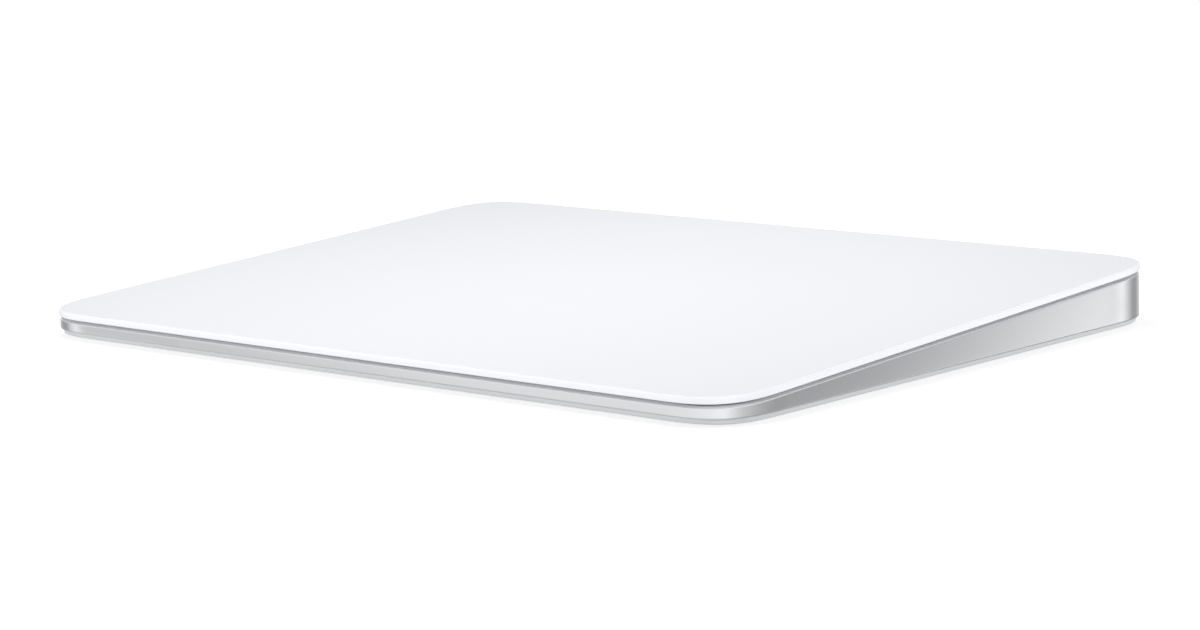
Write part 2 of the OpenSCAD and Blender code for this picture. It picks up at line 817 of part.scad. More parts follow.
// Chips in two columns over the board, set across and along in turn, and two more under the shield can
module board_components() {
  pair_w = processor_w + memory_gap + memory_w;
  color([0.13, 0.13, 0.14]) on_deck() {
    for (row = [0:chip_rows - 1], column = [0, 1])
      translate([
        board_x + row_offset(column, 2) * (chip_l + chip_gap),
        slot_y1 + row * chip_pitch + chip_pitch / 2, 0
      ]) rotate(90 * ((row + column) % 2))
        block(-chip_l / 2, chip_l / 2, -chip_w / 2, chip_w / 2, chip_top, board_top);
    translate([board_x - pair_w / 2, shield_y0 + shield_l / 2, 0]) {
      block(0, processor_w, -processor_w / 2, processor_w / 2, board_under, board_under + chip_h);
      block(pair_w - memory_w, pair_w, -memory_l / 2, memory_l / 2, board_under, board_under + chip_h);
    }
  }
}

module board_connectors() {
  color([0.85, 0.83, 0.76]) on_deck() {
    translate([board_x, board_link_y, 0])
      block(-link_w / 2, link_w / 2, -link_d / 2, link_d / 2, chip_top, board_top);
    translate([slot_x0 + force_conn_w / 4, force_conn_y, 0])
      block(-force_conn_w / 2, force_conn_w / 2, -flex_w / 2, flex_w / 2, chip_top, board_top);
    translate([board_x0 + conn_margin, tab_y, 0])
      block(0, conn_l, -flex_w - conn_margin, flex_w + conn_margin, chip_top, board_top);
    translate([rear_flex_x, board_y1 - rear_conn_in, 0])
      block(-flex_w / 2 - conn_margin, flex_w / 2 + conn_margin, -conn_l, 0,
        board_under, rear_flex_top + flex_t + fit_gap);
  }
}

module main_board_screws() {
  color([0.55, 0.56, 0.57]) on_deck() at_board_screws() translate([0, 0, -board_under])
    screw(board_t + board_boss_h - 2 * stop_gap, screw_head_h);
}

// Battery

module battery_cell() {
  color([0.16, 0.17, 0.18]) on_deck()
    translate([(cell_x0 + cell_x1) / 2, (cell_y0 + cell_y1) / 2, -cell_under])
      profiled_plate(cell_x1 - cell_x0, cell_y1 - cell_y0, cell_r, 0, cell_t)
        edge_profile(cell_r, cell_t, cell_edge_r, cell_edge_r);
}

module battery_tab_board() {
  color([0.05, 0.2, 0.12]) on_deck() translate([cell_x1, tab_y, 0])
    block(0, tab_w, -tab_l / 2, tab_l / 2, tab_top, tab_top + tab_t);
}

module battery_cable() {
  color([0.72, 0.45, 0.15]) on_deck() translate([0, tab_y, 0])
    block(cell_x1 + conn_margin, board_x0 + conn_margin, -flex_w, flex_w, tab_top - flex_t, tab_top);
}

module battery_adhesive() {
  color([0.9, 0.9, 0.86]) on_deck() for (y = [cell_y0 + cell_glue_w, cell_y1 - cell_glue_w])
    block(cell_x0 + cell_glue_w, cell_x1 - cell_glue_w, y - cell_glue_w / 2, y + cell_glue_w / 2,
      web_under, cell_top);
}

// Charging port

// Extrudes a section of the port inwards from a place behind the rear face
module port_section(y, l) {
  translate([0, y, port_z]) rotate([90, 0, 0]) linear_extrude(l) children();
}

module charge_port_shell() {
  color([0.78, 0.78, 0.79]) port_section(port_mouth, port_l) difference() {
    stadium(port_w, port_h);
    stadium(port_w - 2 * port_shell_t, port_h - 2 * port_shell_t);
  }
}

module charge_port_tongue() {
  inner_w = port_w - 2 * port_shell_t - 2 * winding_play;
  inner_h = port_h - 2 * port_shell_t - 2 * winding_play;
  color([0.1, 0.1, 0.11]) {
    port_section(port_back + insulator_l, insulator_l) stadium(inner_w, inner_h);
    port_section(port_mouth - tongue_recess, port_l - tongue_recess)
      square([tongue_w, tongue_t], center = true);
    port_section(port_back + insulator_l / 2, tail_l + insulator_l / 2)
      square([tongue_w, tail_t], center = true);
  }
}

module port_contacts() {
  tip = port_mouth - tongue_recess - contact_in;
  color([0.85, 0.68, 0.35]) port_section(tip, contact_l)
    for (i = [0:contact_count - 1], s = [-1, 1])
      translate([row_offset(i, contact_count) * contact_pitch, s * (tongue_t + contact_t) / 2])
        square([contact_w, contact_t], center = true);
}

module port_bracket() {
  color([0.66, 0.67, 0.68]) translate([0, strap_y, port_under - strap_t])
    linear_extrude(strap_t) difference() {
      rounded_rect(strap_w, strap_d, opening_r);
      for (s = [-1, 1]) translate([s * strap_screw, 0]) circle(screw_r + screw_play);
    }
}

module port_screws() {
  color([0.55, 0.56, 0.57]) at_strap_screws() translate([0, 0, -strap_t])
    screw(strap_t + strap_grip, screw_head_h);
}

module port_flex() {
  color([0.72, 0.45, 0.15]) on_deck() {
    block(rear_flex_part, rear_flex_x + flex_w / 2, rear_flex_y0, rear_flex_y1,
      rear_flex_top, rear_flex_top + flex_t);
    block(rear_flex_x - flex_w / 2, rear_flex_x + flex_w / 2, board_y1 - rear_conn_in, rear_flex_y1,
      rear_flex_top, rear_flex_top + flex_t);
  }
}

// Power switch

module switch_knob() {
  knob_x = -switch_off - switch_travel / 2;
  knob_back = slot_floor + fit_gap;
  knob_front = rear_face + knob_proud;
  color([0.9, 0.91, 0.92]) difference() {
    union() {
      translate([knob_x, knob_front, switch_z]) rotate([90, 0, 0])
        linear_extrude(knob_front - knob_back) stadium(knob_l, knob_h);
      translate([knob_x - stem_l / 2, switch_front - stem_in, switch_z - stem_h / 2])
        cube([stem_l, knob_back + fit_gap - switch_front + stem_in, stem_h]);
    }
    for (i = [0:knob_grooves - 1])
      translate([knob_x + row_offset(i, knob_grooves) * groove_pitch, knob_front, switch_z - knob_h])
        cylinder(r = groove_r, h = 2 * knob_h);
  }
}

// The slit that the knob's stem slides in
module stem_slit() {
  square([stem_l + switch_travel + 2 * knob_gap, stem_h + 2 * knob_gap], center = true);
}

module switch_indicator() {
  color([0.25, 0.7, 0.35]) translate([-switch_off, slot_floor, switch_z]) rotate([90, 0, 0])
    linear_extrude(indicator_t) difference() {
      square([switch_w, switch_h], center = true);
      stem_slit();
    }
}

module switch_body() {
  color([0.15, 0.15, 0.16]) translate([-switch_off, switch_front, switch_z]) rotate([90, 0, 0]) difference() {
    linear_extrude(switch_d) square([switch_w, switch_h], center = true);
    translate([0, 0, -cut]) linear_extrude(cut + stem_in + knob_gap) stem_slit();
  }
}

module switch_flex() {
  end_y = deck_y(switch_back, rear_flex_top + flex_t);
  color([0.72, 0.45, 0.15]) on_deck() {
    block(-switch_off - flex_w / 2, -rear_flex_part, rear_flex_y0, rear_flex_y1,
      rear_flex_top, rear_flex_top + flex_t);
    block(-switch_off - flex_w / 2, -switch_off + flex_w / 2, rear_flex_y0, end_y,
      rear_flex_top, rear_flex_top + flex_t);
  }
}

// Flat cable from the touch plate down to the main board, with an S bend that gives way
module touch_flex_cable() {
  bend_y = (slot_y0 + slot_y1) / 2;
  high_z = -link_under - flex_t - link_bend;
  low_z = -chip_top + flex_t + link_bend;
  off = flex_t / 2 + link_bend;
  color([0.72, 0.45, 0.15]) on_deck() translate([board_x - link_flex_w / 2, 0, 0]) rotate([90, 0, 90])
    linear_extrude(link_flex_w) {
      translate([bend_y + off, high_z + link_bend]) square([link_y + link_d / 2 - bend_y - off, flex_t]);
      translate([bend_y + off, high_z]) rotate(90) quarter_ring(link_bend, flex_t);
      translate([bend_y - flex_t / 2, low_z]) square([flex_t, high_z - low_z]);
      translate([bend_y - off, low_z]) rotate(-90) quarter_ring(link_bend, flex_t);
      translate([board_link_y - link_d / 2, low_z - link_bend - flex_t])
        square([bend_y - off - board_link_y + link_d / 2, flex_t]);
    }
}

// Antenna

module antenna_carrier() {
  color([0.2, 0.2, 0.21]) on_deck() difference() {
    block(antenna_x0, board_x1, antenna_y0, antenna_y1, web_under, antenna_under);
    block(antenna_x0 - cut, board_x1 + cut, antenna_y0 + antenna_wall, antenna_y1 - antenna_wall,
      web_under + antenna_wall, antenna_under - antenna_wall);
  }
}

module antenna_foil() {
  foil_x1 = antenna_x0 + antenna_wall + flex_w;
  foil_under = antenna_under + foil_t;
  color([0.8, 0.5, 0.25]) on_deck() {
    block(antenna_x0 + antenna_wall, board_x1 - antenna_wall, antenna_y0, antenna_y1 - antenna_wall,
      antenna_under, foil_under);
    block(antenna_x0 + antenna_wall, foil_x1, antenna_y0 - foil_t, antenna_y0, board_under, foil_under);
    block(antenna_x0 + antenna_wall, foil_x1, board_y1 - foil_lap, antenna_y0,
      board_under, board_under + foil_t);
  }
}

glass_plate();
glass_bond();
sensor_board();
stiffener_plate();
attractor_bar();
touch_connector();
force_flexures();
strain_gauges();
gel_pads();
switch_knob();
housing();
bottom_cover();
cover_adhesive();
rubber_feet();
flexure_screws();
force_flex_cable();
haptic_bracket();
haptic_cores();
haptic_coils();
haptic_screws();
main_board();
shield_can();
board_components();
board_connectors();
main_board_screws();
battery_cell();
battery_tab_board();
battery_cable();
battery_adhesive();
charge_port_shell();
charge_port_tongue();
port_contacts();
port_bracket();
port_screws();
port_flex();
switch_body();
switch_indicator();
switch_flex();
touch_flex_cable();
antenna_carrier();
antenna_foil();
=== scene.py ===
"""Desk trackpad: a white glass touch plate over a satin metal wedge housing, on a white studio floor."""
import json
from math import atan, cos, radians, sin, sqrt, tan

import bmesh
import bpy
from mathutils import Matrix, Vector


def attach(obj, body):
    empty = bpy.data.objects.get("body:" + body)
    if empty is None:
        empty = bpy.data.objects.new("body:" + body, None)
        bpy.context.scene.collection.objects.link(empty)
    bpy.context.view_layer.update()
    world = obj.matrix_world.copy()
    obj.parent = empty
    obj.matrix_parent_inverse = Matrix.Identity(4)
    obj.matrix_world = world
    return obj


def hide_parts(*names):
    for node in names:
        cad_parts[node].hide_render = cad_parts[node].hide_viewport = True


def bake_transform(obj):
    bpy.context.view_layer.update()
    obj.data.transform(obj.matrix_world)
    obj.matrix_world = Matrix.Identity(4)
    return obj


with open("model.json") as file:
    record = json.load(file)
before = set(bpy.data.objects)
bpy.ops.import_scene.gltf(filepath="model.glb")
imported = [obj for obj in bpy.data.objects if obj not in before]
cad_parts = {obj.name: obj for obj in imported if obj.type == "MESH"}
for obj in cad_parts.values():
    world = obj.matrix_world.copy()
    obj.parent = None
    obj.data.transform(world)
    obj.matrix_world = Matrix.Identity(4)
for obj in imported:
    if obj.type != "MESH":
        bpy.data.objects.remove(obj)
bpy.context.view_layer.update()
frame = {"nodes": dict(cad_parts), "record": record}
bpy.ops.object.select_all(action="DESELECT")

MM = 0.001
# In metres: what lies nearer than NEAR counts as in line, and points nearer than WELD are one
NEAR = 2e-6
WELD = 2e-7
SMOOTH_UNDER = radians(35)

# Sizes of the pieces, in millimetres, as the solids have them apart from the finest rounds and lips
BODY_W = 160.0
BODY_D = 114.9
FRONT_H = 4.9
REAR_H = 10.9
CORNER_R = 9.5
CORNER_EASE = 5.0
GLASS_T = 1.2
GLASS_TOP_R = 0.45
GLASS_UNDER_R = 0.25
RIM_TOP = 1.7
RIM_INSET = 0.15
RIM_CHAMFER = 0.3
WALL_T = 1.8
WALL_LIFT = 1.5
WALL_EDGE_R = 0.3
WEB_TOP = 2.85
WEB_UNDER = 3.65
COVER_INSET = 0.6
COVER_UNDER = 0.65
COVER_FLOOR = 1.25
COVER_TOP = 1.55
COVER_SEAT = 1.65
COVER_EDGE_R = 0.25
FIT_GAP = 0.1
FOOT_R = 5.0
FOOT_H = 0.8
FOOT_SEAT = 0.15
FOOT_EDGE_R = 0.25
FOOT_MARGIN = 14.0
FOOT_BAND = 0.9
FOOT_DISH = (0.25, 0.06)
SEAT_LIP = 0.05

TILT = atan((REAR_H - FRONT_H) / BODY_D)
MID_H = (FRONT_H + REAR_H) / 2
DECK_D = BODY_D / cos(TILT)
WALL_W = BODY_W - 2 * RIM_INSET
WALL_D = BODY_D - 2 * RIM_INSET
WALL_R = CORNER_R - RIM_INSET
REAR_FACE = WALL_D / 2
ON_DECK = Matrix.Translation((0, 0, MID_H * MM)) @ Matrix.Rotation(TILT, 4, "X")
DECK_NORMAL = ON_DECK.to_3x3() @ Vector((0, 0, 1))
POCKET_W = WALL_W - 2 * WALL_T
POCKET_D = WALL_D - 2 * WALL_T
POCKET_R = WALL_R - WALL_T
COVER_W = WALL_W - 2 * COVER_INSET
COVER_D = WALL_D - 2 * COVER_INSET
COVER_R = WALL_R - COVER_INSET

# Rooms and seats inside the housing
OVERCUT = 1.0
BLOCK_TOP = REAR_H + 3.0
BAY_HALF = POCKET_W / 2 - 4.0
BAY_R = 4.0
BAY_REAR = REAR_FACE - 3.3
OPENING_R = 1.5
PAN_D = 24.0
PAN_SINK = 1.4
COVER_PLAY = 0.3
CAVE = (53.0, 17.0)
PAN_SCREW = (28.25, 10.25)
BOARD_X1 = POCKET_W / 2 - 5.0
BOARD_X0 = BOARD_X1 - 27.0
BOARD_L = 50.0
BOARD_TOP = 4.65
BOARD_UNDER = 5.55
BOARD_SCREW = (2.5, 3.0)
CABLE_SLOT = (14.0, 10.0)
CABLE_SLOT_IN = 5.0
BOSS_R = 1.7
SCREW_HOLE_R = 0.54
LEAF_GRIP = 0.6
BOARD_GRIP = 0.9
STRAP_GRIP = 2.3

# Leaf springs and their strain gauges
LEAF_L = 18.0
LEAF_W = 7.0
ROOT_L = 7.5
LEAF_TOP = 2.25
LEAF_UNDER = 2.55
LEAF_CORNER_R = 0.4
LEAF_X1 = POCKET_W / 2 - 7.0
LEAF_TIP = LEAF_X1 - LEAF_L
ROOT_X = LEAF_X1 - ROOT_L
LEAF_Y = POCKET_D / 2 - 15.0
LEAF_SCREW_GAP = 4.0
LEAF_SCREWS = [LEAF_X1 - (ROOT_L - side * LEAF_SCREW_GAP) / 2 for side in (-1, 1)]
GAUGE = (2.0, 2.6, 0.08)
GAUGE_EDGE_R = 0.02
WAIST_X = ROOT_X - 0.3 - GAUGE[0] / 2
WAIST_R = 1.4
WAIST_END = WAIST_X - WAIST_R
BEND_STEPS = 9

# Charging port and power switch in the rear wall
PORT_Z = 4.9
PORT_OPENING = (9.14, 3.46)
PORT_SHELL = (8.94, 3.26)
PORT_SHELL_T = 0.3
PORT_LIP = 0.12
PORT_MOUTH = REAR_FACE - 0.3
PORT_MOUTH_R = 0.1
PORT_BACK = PORT_MOUTH - 7.3
STRAP_SCREW = (8.6, PORT_MOUTH - 4.9)
TONGUE = (6.69, 0.7)
TONGUE_TIP = PORT_MOUTH - 0.8
TONGUE_TIP_R = 0.15
INSULATOR_L = 2.0
INSULATOR_PLAY = 0.08
TAIL_L = 3.0
TAIL_T = 0.6
CONTACTS = 12
CONTACT_PITCH = 0.5
CONTACT = (0.25, 3.2, 0.05)
CONTACT_END = TONGUE_TIP - 0.3
CONTACT_EDGE_R = 0.02
SWITCH_X = -30.0
SWITCH_SLOT = (6.9, 2.4)
SWITCH_LIP = 0.1
SWITCH_SEAT = (9.3, 4.0)
SLOT_FLOOR = REAR_FACE - 1.3
KNOB = (4.5, 2.0)
KNOB_EDGE_R = 0.15
KNOB_X = SWITCH_X - 1.0
KNOB_FRONT = REAR_FACE + 0.1
KNOB_BACK = SLOT_FLOOR + 0.1
KNOB_STEM = (1.2, 1.0)
KNOB_STEM_IN = SLOT_FLOOR - 1.9
GROOVE_R = 0.2
GROOVE_PITCH = 0.8


def clear_y(depth):
    """The frontmost place where a piece that hangs this deep under the glass still clears the cover."""
    return (COVER_FLOOR + COVER_PLAY - MID_H + depth * cos(TILT)) / sin(TILT)


PAN_Y = clear_y(WEB_UNDER + PAN_SINK) + PAN_D / 2
BAY_FRONT = PAN_Y - PAN_D / 2 - 2.0
BOARD_Y0 = clear_y(BOARD_UNDER)


# Modelling by hand

def mm(*values):
    return Vector(values) * MM


def take(piece):
    """Makes a piece the only selected one."""
    bpy.ops.object.select_all(action="DESELECT")
    piece.select_set(True)
    bpy.context.view_layer.objects.active = piece


def settle(piece, name):
    """Names a piece and puts its place, turn and size into its mesh."""
    piece.name = name
    piece.data.name = name
    take(piece)
    bpy.ops.object.transform_apply(location=True, rotation=True, scale=True)
    return piece


def block(name, low, high):
    """A box from one corner to the other, to be shaped further."""
    bpy.ops.object.select_all(action="DESELECT")
    bpy.ops.mesh.primitive_cube_add(size=1, location=(mm(*low) + mm(*high)) / 2)
    piece = bpy.context.active_object
    piece.scale = mm(*high) - mm(*low)
    return settle(piece, name)


def rod(name, radius, start, end, sides=48, up="Y"):
    """A round bar from one point to another, to be shaped further."""
    a, b = mm(*start), mm(*end)
    bpy.ops.object.select_all(action="DESELECT")
    bpy.ops.mesh.primitive_cylinder_add(
        vertices=sides, radius=radius * MM, depth=(b - a).length, location=(a + b) / 2,
        rotation=(b - a).to_track_quat("Z", up).to_euler())
    return settle(bpy.context.active_object, name)


def pick(piece, kind, test):
    """Opens a piece for editing with the edges or faces that pass the test selected."""
    take(piece)
    bpy.ops.object.mode_set(mode="EDIT")
    bpy.ops.mesh.select_mode(type=kind)
    bpy.ops.mesh.select_all(action="DESELECT")
    mesh = bmesh.from_edit_mesh(piece.data)
    for item in {"VERT": mesh.verts, "EDGE": mesh.edges, "FACE": mesh.faces}[kind]:
        item.select_set(test(item))
    mesh.select_flush_mode()
    bmesh.update_edit_mesh(piece.data)


def done():
    bpy.ops.object.mode_set(mode="OBJECT")


def upright(edge):
    a, b = (v.co for v in edge.verts)
    return (a.xy - b.xy).length < NEAR


def level(z):
    """Test for the edges that lie at one height."""
    return lambda edge: all(abs(v.co.z - z * MM) < NEAR for v in edge.verts)


def facing_rear(y, size, middle):
    """Test for the edges on an upright plane across Y that lie in a window of a size round a point of it."""
    half_w, half_h = ((side / 2 + FIT_GAP) * MM for side in size)

    def test(edge):
        return all(abs(v.co.y - y * MM) < NEAR and abs(v.co.x - middle[0] * MM) < half_w
                   and abs(v.co.z - middle[1] * MM) < half_h for v in edge.verts)
    return test


def bevel(piece, test, width, segments, profile=0.5):
    pick(piece, "EDGE", test)
    bpy.ops.mesh.bevel(offset=width * MM, offset_type="OFFSET", segments=segments, profile=profile,
                       affect="EDGES", clamp_overlap=False)
    done()


def trim(piece, depth):
    """Cuts a piece along the tilted plane at a depth under the glass and drops what lies over it."""
    pick(piece, "FACE", lambda face: True)
    bpy.ops.mesh.bisect(plane_co=ON_DECK @ mm(0, 0, -depth), plane_no=DECK_NORMAL, use_fill=True,
                        clear_outer=True)
    done()


def on_deck(piece):
    """Tilts a piece that was made flat, with the top of the glass at its zero."""
    piece.matrix_world = ON_DECK
    return settle(piece, piece.name)


def modify(piece, kind, **settings):
    take(piece)
    modifier = piece.modifiers.new(kind.title(), kind)
    for key, value in settings.items():
        setattr(modifier, key, value)
    bpy.ops.object.modifier_apply(modifier=modifier.name)


def cut(piece, tool, operation="DIFFERENCE"):
    """Cuts a piece with a tool, or joins the tool on to it, and clears the tool away."""
    modify(piece, "BOOLEAN", operation=operation, solver="EXACT", object=tool)
    bpy.data.objects.remove(tool, do_unlink=True)


def join(name, pieces):
    take(pieces[0])
    for piece in pieces:
        piece.select_set(True)
    bpy.ops.object.join()
    return settle(pieces[0], name)


def tidy_faces(piece):
    """Merges doubles, turns the faces outwards and shades them smooth between the sharp edges."""
    pick(piece, "FACE", lambda face: True)
    bpy.ops.mesh.remove_doubles(threshold=WELD)
    bpy.ops.mesh.normals_make_consistent(inside=False)
    done()
    bpy.ops.object.shade_smooth_by_angle(angle=SMOOTH_UNDER)
    modify(piece, "WEIGHTED_NORMAL", mode="FACE_AREA", weight=100, keep_sharp=True)


def rounded_plate(name, size, r, z0, z1, middle=(0, 0), segments=24, ease=0.0):
    """A plate with rounded corners, seen from above.

    With ease, the rounding starts that much further from the corner and tightens slowly, but still passes
    through the middle of the plain arc.
    """
    (w, d), (x, y) = size, middle
    plate = block(name, (x - w / 2, y - d / 2, z0), (x + w / 2, y + d / 2, z1))
    fullness = (1 - r * (1 - sqrt(0.5)) / (r + ease)) ** 2
    bevel(plate, upright, r + ease, segments, fullness)
    return plate


def oblong(name, size, y0, y1, middle):
    """A bar along Y with round ends: a round bar whose two halves are moved apart."""
    (w, h), (x, z) = size, middle
    bar = rod(name, h / 2, (x, y0, z), (x, y1, z), sides=50, up="X")
    for side in (-1, 1):
        pick(bar, "VERT", lambda vert: (vert.co.x - x * MM) * side > 0)
        bpy.ops.transform.translate(value=mm(side * (w - h) / 2, 0, 0))
        done()
    return bar


def corners(x, y):
    return [(sx * x, sy * y) for sx in (-1, 1) for sy in (-1, 1)]


# Pieces of the object

def make_glass():
    """The touch plate: corners first, then the soft upper edge and the small lower one."""
    glass = rounded_plate("glass_touch_plate", (BODY_W, DECK_D), CORNER_R, -GLASS_T, 0, segments=40,
                          ease=CORNER_EASE)
    bevel(glass, level(0), GLASS_TOP_R, 8)
    bevel(glass, level(-GLASS_T), GLASS_UNDER_R, 4)
    on_deck(glass)
    tidy_faces(glass)
    return glass


def screw_holes():
    """Cutters for every screw hole of the housing, as one tool."""
    spots = [(x, y, -WEB_TOP - LEAF_GRIP, 0) for leaf_x in LEAF_SCREWS for x, y in corners(leaf_x, LEAF_Y)]
    spots += [(x, y + PAN_Y, -WEB_UNDER - OVERCUT, 0) for x, y in corners(*PAN_SCREW)]
    spots += [(x, y, -BOARD_TOP - OVERCUT, -BOARD_TOP + BOARD_GRIP) for x, y in board_screws()]
    holes = []
    for x, y, low, high in spots:
        holes.append(on_deck(rod("hole", SCREW_HOLE_R, (x, y, low), (x, y, high), sides=16)))
    under = PORT_Z - PORT_SHELL[1] / 2
    for side in (-1, 1):
        x, y = side * STRAP_SCREW[0], STRAP_SCREW[1]
        holes.append(rod("hole", SCREW_HOLE_R, (x, y, under - OVERCUT), (x, y, under + STRAP_GRIP), sides=16))
    return join("screw_holes", holes)


def bay_block(low):
    """The outline of the bay, from a height up through the top."""
    return rounded_plate("bay", (2 * BAY_HALF, BAY_REAR - BAY_FRONT), BAY_R, low, BLOCK_TOP,
                         (0, (BAY_FRONT + BAY_REAR) / 2), 12)


def board_screws():
    xs = (BOARD_X0 + BOARD_SCREW[0], BOARD_X1 - BOARD_SCREW[0])
    ys = (BOARD_Y0 + BOARD_SCREW[1], BOARD_Y0 + BOARD_L - BOARD_SCREW[1])
    return [(x, y) for x in xs for y in ys]


def make_housing():
    """The wedge: an upright block cut along the tilted rim, then pocketed from both sides."""
    housing = rounded_plate("metal_housing", (WALL_W, WALL_D), WALL_R, WALL_LIFT, BLOCK_TOP, segments=40,
                            ease=CORNER_EASE)
    trim(housing, RIM_TOP)
    to_deck = ON_DECK.inverted()
    bevel(housing, lambda edge: all(abs((to_deck @ v.co).z + RIM_TOP * MM) < NEAR for v in edge.verts),
          RIM_CHAMFER, 2)
    bevel(housing, level(WALL_LIFT), WALL_EDGE_R, 5)

    pocket_y = -(RIM_TOP + WEB_TOP) / 2 * tan(TILT)
    cut(housing, on_deck(rounded_plate("pocket", (POCKET_W, POCKET_D), POCKET_R, -WEB_TOP, 2 * OVERCUT,
                                       (0, pocket_y))))
    bay = bay_block(-OVERCUT)
    trim(bay, WEB_UNDER)
    cut(housing, bay)
    add_bosses(housing)

    seat = (COVER_W + 2 * FIT_GAP, COVER_D + 2 * FIT_GAP)
    cut(housing, rounded_plate("cover_seat", seat, COVER_R + FIT_GAP, -OVERCUT, COVER_SEAT, segments=40,
                               ease=CORNER_EASE))
    cable_middle = ((BOARD_X0 + BOARD_X1) / 2, BOARD_Y0 + CABLE_SLOT_IN + CABLE_SLOT[1] / 2)
    openings = (("actuator_opening", CAVE, (0, PAN_Y)), ("cable_opening", CABLE_SLOT, cable_middle))
    for name, size, middle in openings:
        cut(housing, on_deck(rounded_plate(name, size, OPENING_R, -WEB_UNDER - OVERCUT, -WEB_TOP + OVERCUT,
                                           middle, 8)))
    cut(housing, screw_holes())
    open_rear_wall(housing)
    tidy_faces(housing)
    return housing


def add_bosses(housing):
    """Raised roots for the leaf springs, and bosses for the main board and the port's strap."""
    web_mid = (WEB_TOP + WEB_UNDER) / 2
    for x, y in corners((ROOT_X + LEAF_X1) / 2, LEAF_Y):
        cut(housing, on_deck(block("leaf_root", (x - ROOT_L / 2, y - LEAF_W / 2, -web_mid),
                                   (x + ROOT_L / 2, y + LEAF_W / 2, -LEAF_UNDER))), "UNION")
    for place in board_screws():
        boss = rod("boss", BOSS_R, (*place, -BOARD_TOP), (*place, -web_mid), sides=32)
        cut(housing, on_deck(boss), "UNION")
    for side in (-1, 1):
        x, y = side * STRAP_SCREW[0], STRAP_SCREW[1]
        low = PORT_Z - PORT_SHELL[1] / 2
        high = MID_H + y * sin(TILT) - web_mid * cos(TILT)
        cut(housing, rod("boss", BOSS_R, (x, y, low), (x, y, high), sides=32), "UNION")


def open_rear_wall(housing):
    """The charging port's opening, and the power switch's slot with the seat behind it."""
    port, switch = (0, PORT_Z), (SWITCH_X, PORT_Z)
    cut(housing, oblong("port_opening", PORT_OPENING, BAY_REAR - OVERCUT, REAR_FACE + OVERCUT, port))
    w, h = SWITCH_SEAT
    cut(housing, block("switch_seat", (SWITCH_X - w / 2, BAY_REAR - OVERCUT, PORT_Z - h / 2),
                       (SWITCH_X + w / 2, SLOT_FLOOR, PORT_Z + h / 2)))
    cut(housing, oblong("switch_slot", SWITCH_SLOT, SLOT_FLOOR - FIT_GAP, REAR_FACE + OVERCUT, switch))
    bevel(housing, facing_rear(REAR_FACE, PORT_OPENING, port), PORT_LIP, 2)
    bevel(housing, facing_rear(REAR_FACE, SWITCH_SLOT, switch), SWITCH_LIP, 2)


def make_cover():
    """The bottom cover, with a raised border inside and a round seat for each foot."""
    cover = rounded_plate("bottom_cover_plate", (COVER_W, COVER_D), COVER_R, COVER_UNDER, COVER_TOP,
                          segments=40, ease=CORNER_EASE)
    bevel(cover, level(COVER_UNDER), COVER_EDGE_R, 5)
    cut(cover, bay_block(COVER_FLOOR))
    seat_r = FOOT_R + FIT_GAP
    for x, y in feet():
        cut(cover, rod("foot_seat", seat_r, (x, y, -OVERCUT), (x, y, COVER_UNDER + FOOT_SEAT), sides=64))

    def round_a_seat(edge):
        reach = [(v.co.xy - mm(x, y)).length - seat_r * MM for v in edge.verts for x, y in feet()]
        return level(COVER_UNDER)(edge) and any(abs(away) < NEAR for away in reach)
    bevel(cover, round_a_seat, SEAT_LIP, 2)
    tidy_faces(cover)
    return cover


def feet():
    return corners(BODY_W / 2 - FOOT_MARGIN, BODY_D / 2 - FOOT_MARGIN)


def make_feet():
    """Four rubber feet: one is modelled, with a soft edge and a shallow dish, and copied."""
    x, y = feet()[0]
    foot = rod("rubber_foot", FOOT_R, (x, y, 0), (x, y, FOOT_H), sides=64)
    bevel(foot, level(0), FOOT_EDGE_R, 5)
    pick(foot, "FACE", lambda face: face.normal.z < -0.99)
    bpy.ops.mesh.inset(thickness=FOOT_BAND * MM)
    bpy.ops.mesh.inset(thickness=FOOT_DISH[0] * MM, depth=-FOOT_DISH[1] * MM)
    done()
    tidy_faces(foot)
    set_of_feet = [foot]
    for place in feet()[1:]:
        take(foot)
        bpy.ops.object.duplicate(linked=False)
        copy = bpy.context.active_object
        copy.location = mm(place[0] - x, place[1] - y, 0)
        set_of_feet.append(settle(copy, f"rubber_foot_{len(set_of_feet) + 1}"))
    return set_of_feet


def make_port():
    """The charging port: a drawn steel shell, and a moulded tongue with its contacts."""
    middle = (0, PORT_Z)
    shell = oblong("port_shell", PORT_SHELL, PORT_BACK, PORT_MOUTH, middle)
    bore = [size - 2 * PORT_SHELL_T for size in PORT_SHELL]
    cut(shell, oblong("port_bore", bore, PORT_BACK - OVERCUT, PORT_MOUTH + OVERCUT, middle))
    bevel(shell, facing_rear(PORT_MOUTH, PORT_SHELL, middle), PORT_MOUTH_R, 3)
    tidy_faces(shell)

    w, t = TONGUE
    insulator = [size - INSULATOR_PLAY for size in bore]
    rear_end = PORT_BACK + INSULATOR_L / 2
    tongue = block("port_tongue", (-w / 2, rear_end, PORT_Z - t / 2), (w / 2, TONGUE_TIP, PORT_Z + t / 2))
    bevel(tongue, facing_rear(TONGUE_TIP, TONGUE, middle), TONGUE_TIP_R, 3)
    cut(tongue, oblong("port_insulator", insulator, PORT_BACK, PORT_BACK + INSULATOR_L, middle), "UNION")
    cut(tongue, block("port_tail", (-w / 2, PORT_BACK - TAIL_L, PORT_Z - TAIL_T / 2),
                      (w / 2, rear_end, PORT_Z + TAIL_T / 2)), "UNION")
    tidy_faces(tongue)

    strips = [make_contact(number, side) for side in (-1, 1) for number in range(CONTACTS)]
    contacts = join("port_contact_strips", strips)
    tidy_faces(contacts)
    return shell, tongue, contacts


